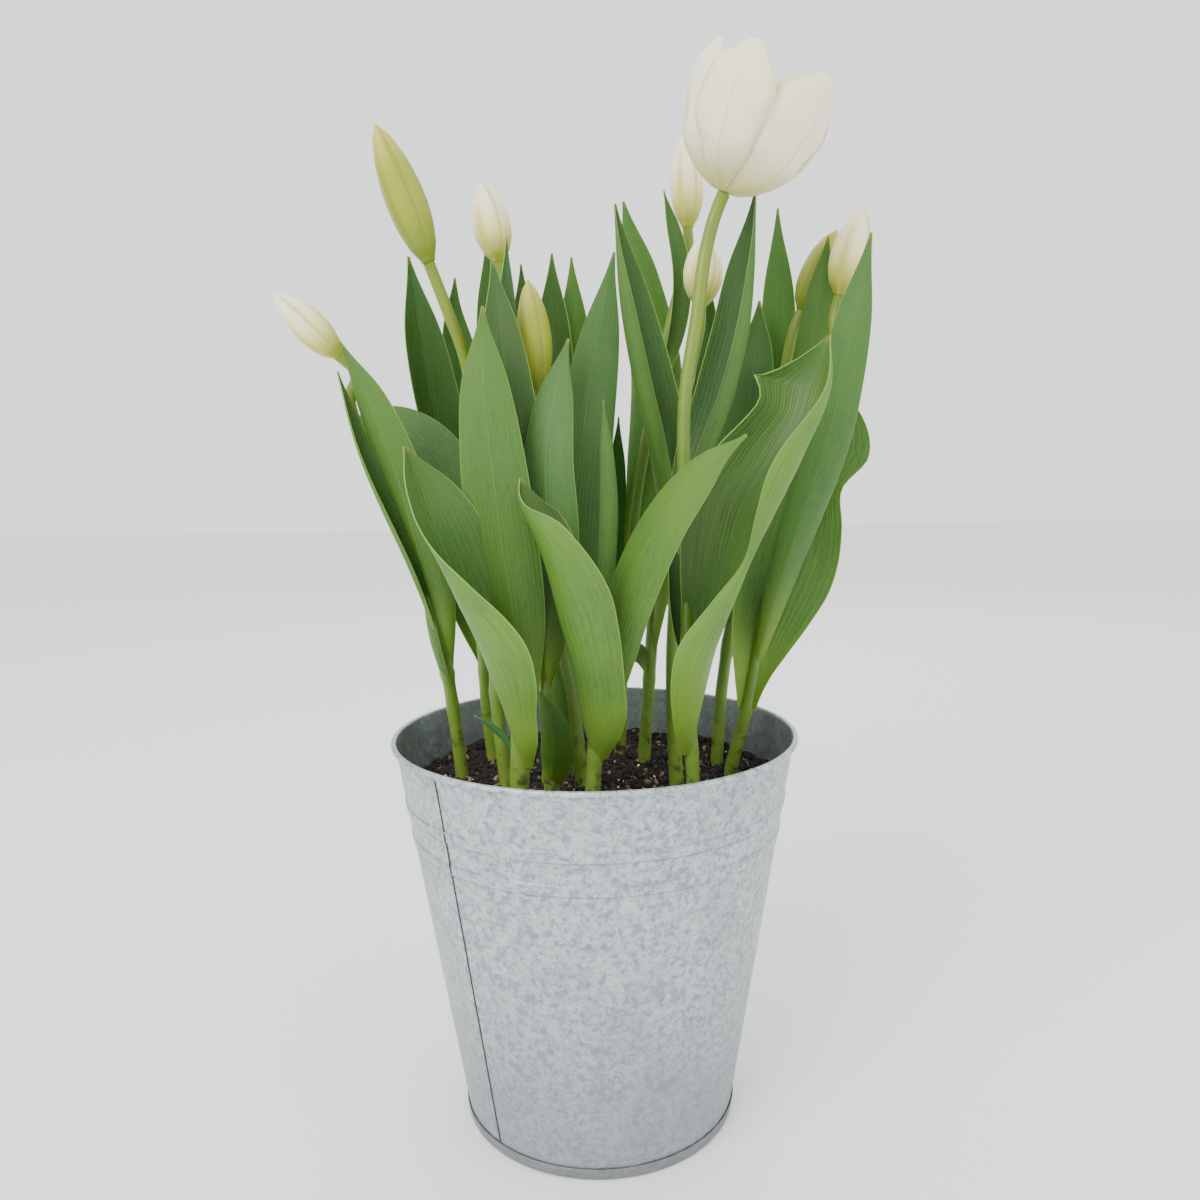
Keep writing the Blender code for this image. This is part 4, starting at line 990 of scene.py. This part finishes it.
# The open bloom: six waxy cream petals in two rings of three, cupped round the pistil, each with a fine
# seam down its middle and a flush of yellow-green where it joins the stem. A petal is given by where it
# faces, its half width, how far its belly and mouth stand out, and its height.
PETAL = (0.2, 0.5, 0.74, 0.88, 0.97, 1.0, 0.97, 0.8, 0.25)
RECEPTACLE_HEIGHT = 8.0
TUCK = 1.12
PETALS = (
    (-114, 19, 37.0, 31, 62),
    (-44, 29, 35.6, 36, 60),
    (34, 27, 37.2, 35, 61),
    (92, 26, 34.3, 29, 62),
    (148, 26, 36.0, 32, 61),
    (-170, 26, 34.3, 30, 62),
)
petal_skin, tree, shader = started("waxy_cream_petal", 0.42)
fleshy(shader, 0.3, (0.008, 0.007, 0.004))
across, up, out = on_blade(tree)
fine = ribbed(tree, across, up, 26.0)
colour = laid(tree, "#FFF3D2", "#DDD296", (up, 0.6, 0.0))
colour = laid(tree, colour, "#BDC468", (up, 0.42, 0.03), (out, 0.2, 0.0, 0.25, 1.0))
colour = laid(tree, colour, "#CFC48E", (out, 0.018, 0.004), (up, 0.95, 0.5, 0.2, 0.6))
# Painted shade: a darker band just inside each petal's edge
colour = laid(tree, colour, "#C9BC84", (out, 0.36, 0.485, 0.0, 0.6))
# Painted highlight: a thin bright rim along each petal's edge
colour = laid(tree, colour, "#FFFAE8", (out, 0.49, 0.498))
colour = laid(tree, colour, "#DDD0A2", (fine, 0.0, 1.0, 0.0, 0.16))
coated(tree, shader, colour, fine, 0.15, 0.0003)


def petal(azimuth, half, belly, mouth, height):
    """One petal, upright at the origin: its half width and how far its belly and mouth stand out."""
    outward = compass(azimuth)
    profile = ((1.5, 1.5), (belly * 0.27, 3.5), (belly * 0.55, 8.5), (belly * 0.8, 18.0),
               (belly * 0.9, 28.0), (belly * 0.99, height * 0.64), (belly, height * 0.82), (mouth, height))
    route = [outward * out + upright * up for out, up in profile]
    cupped = math.degrees(half / belly) * TUCK
    return blade(route, half=(half, half), inner=(azimuth + 180, azimuth + 180),
                 fold=(110, 70, 52, cupped, cupped, cupped, cupped), ripple=0.8, waves=2.5, outline=PETAL,
                 tint=0.0, steps=40, strips=32)


bloom_axis = (Vector(BLOOM_TOP) - Vector(BLOOM_BASE)).normalized()
bloom_tilt = upright.rotation_difference(bloom_axis).to_matrix().to_4x4()
bloom_frame = Matrix.Translation(Vector(BLOOM_BASE)) @ bloom_tilt
growth = budding()
for shape in PETALS:
    sheeted(growth, petal(*shape))
growth["points"] = [bloom_frame @ point for point in growth["points"]]
grown("open_bloom_petals", growth, (petal_skin,), "bloom")

# The receptacle, pistil and stamens: the stem swells under the petals, the pistil is a three-sided green
# column with three pale lobes on top, and six yellow anthers stand round it on short threads.
pistil_skin, _, shader = started("moist_pistil", 0.4)
shader.inputs["Base Color"].default_value = linear("#AEB765")
anther_skin, _, shader = started("powdery_anther", 0.8)
shader.inputs["Base Color"].default_value = linear("#C9B24A")
PISTIL_SIDES = 36
PISTIL_PROFILE = ((0.02, 0.0), (2.8, 0.0), (3.4, 6.0), (3.0, 11.0), (2.9, 16.0), (4.2, 18.4), (4.6, 19.4),
                  (3.4, 21.0), (0.02, 20.4))
foot = RECEPTACLE_HEIGHT + GAP
points = []
for radius, height in PISTIL_PROFILE:
    for side in range(PISTIL_SIDES):
        angle = math.tau * side / PISTIL_SIDES
        reach = radius * (1.0 + (0.16 if height > 17.0 else 0.07) * math.cos(3 * angle))
        points.append(bloom_frame @ Vector((reach * math.cos(angle), reach * math.sin(angle), foot + height)))
faces, _ = tube(len(PISTIL_PROFILE), PISTIL_SIDES)
made("bloom_pistil", points, faces, pistil_skin, "pistil_and_stamens")

# A stamen: how far out and how high each ring of its thread and anther stands, and the ring's radius
STAMEN_SIDES = 10
STAMEN = ((1.6, 1.5, 0.8), (3.5, 5.5, 0.7), (5.5, 9.0, 0.7), (6.6, 9.8, 1.3), (7.6, 11.5, 1.6),
          (8.6, 16.0, 1.4), (9.0, 19.0, 0.5))
points = []
faces = []
for outward in [compass(60 * count) for count in range(6)]:
    around, ends = tube(len(STAMEN), STAMEN_SIDES, len(points))
    faces += around + ends
    for out, up, radius in STAMEN:
        for side in range(STAMEN_SIDES):
            turn = math.tau * side / STAMEN_SIDES
            points.append(bloom_frame @ (outward * (out + radius * math.cos(turn)) + upright * (foot + up)
                                         + upright.cross(outward) * radius * math.sin(turn)))
made("bloom_stamens", points, faces, anther_skin, "pistil_and_stamens")

# The bulbs: one under each stem, each in its pocket in the soil, with a papery chestnut skin that splits
# along its length.
tunic, tree, shader = started("papery_bulb_tunic", 0.55)
place = add(tree, "ShaderNodeTexCoord").outputs["Object"]
stretched = add(tree, "ShaderNodeMapping", {"Vector": place, "Scale": (1.0, 1.0, 0.15)}).outputs[0]
streak = add(tree, "ShaderNodeTexNoise", {"Vector": stretched, "Scale": 300.0, "Detail": 5.0}).outputs[0]
coated(tree, shader, laid(tree, "#6A3F22", "#A8753F", (streak, 0.35, 0.65)))
for name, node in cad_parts.items():
    if name.startswith("bulb_"):
        node.data.materials.clear()
        node.data.materials.append(tunic)

# The studio: a plain pale floor, soft light from a big panel at the upper left and from all round, and
# the camera where the photograph was taken from.
floor_paint, _, shader = started("pale_matt_floor", 0.9)
shader.inputs["Base Color"].default_value = linear("#F1F1EF")
FLOOR_HALF = 6.0
mesh = bpy.data.meshes.new("studio_floor")
corners = ((-1, -1), (1, -1), (1, 1), (-1, 1))
mesh.from_pydata([(x * FLOOR_HALF, y * FLOOR_HALF, -0.0005) for x, y in corners], [], [(0, 1, 2, 3)])
mesh.materials.append(floor_paint)
studio_floor = bpy.data.objects.new("studio_floor", mesh)
bpy.context.scene.collection.objects.link(studio_floor)

world = bpy.data.worlds.new("soft_room")
world.use_nodes = True
world.node_tree.nodes["Background"].inputs[0].default_value = linear("#F4F6F8")
world.node_tree.nodes["Background"].inputs[1].default_value = 1.75
bpy.context.scene.world = world


def panel(name, place, aim, size, power):
    """A soft square light panel turned towards a point."""
    lamp = bpy.data.lights.new(name, "AREA")
    lamp.shape = "SQUARE"
    lamp.size = size
    lamp.energy = power
    holder = bpy.data.objects.new(name, lamp)
    holder.location = place
    holder.rotation_euler = (Vector(aim) - Vector(place)).to_track_quat("-Z", "Y").to_euler()
    bpy.context.scene.collection.objects.link(holder)


panel("window_panel", (-1.1, -1.5, 1.7), (0.0, 0.0, 0.3), 1.3, 44.0)
panel("fill_panel", (1.6, -0.9, 0.9), (0.0, 0.0, 0.25), 1.2, 6.0)
panel("back_panel", (0.4, 1.8, 1.6), (0.0, 0.0, 0.35), 1.4, 12.0)

# The camera: a little above the bucket's rim and half a metre off, looking down and very slightly tilted
CAMERA_PLACE = (0.0, -0.561, 0.370)
PITCH = 7.35
YAW = 0.43
ROLL = -0.87
forward = compass(90 - YAW) * math.cos(math.radians(PITCH)) - upright * math.sin(math.radians(PITCH))
right = compass(-YAW)
above = right.cross(forward)
turned_right = right * math.cos(math.radians(ROLL)) + above * math.sin(math.radians(ROLL))
turned_above = above * math.cos(math.radians(ROLL)) - right * math.sin(math.radians(ROLL))
lens = bpy.data.cameras.new("photo_camera")
lens.lens = 30.0
lens.sensor_width = 36.0
lens.clip_start = 0.02
camera = bpy.data.objects.new("photo_camera", lens)
camera.matrix_world = (Matrix.Translation(CAMERA_PLACE)
                       @ Matrix((turned_right, turned_above, -forward)).transposed().to_4x4())
bpy.context.scene.collection.objects.link(camera)
bpy.context.scene.camera = camera
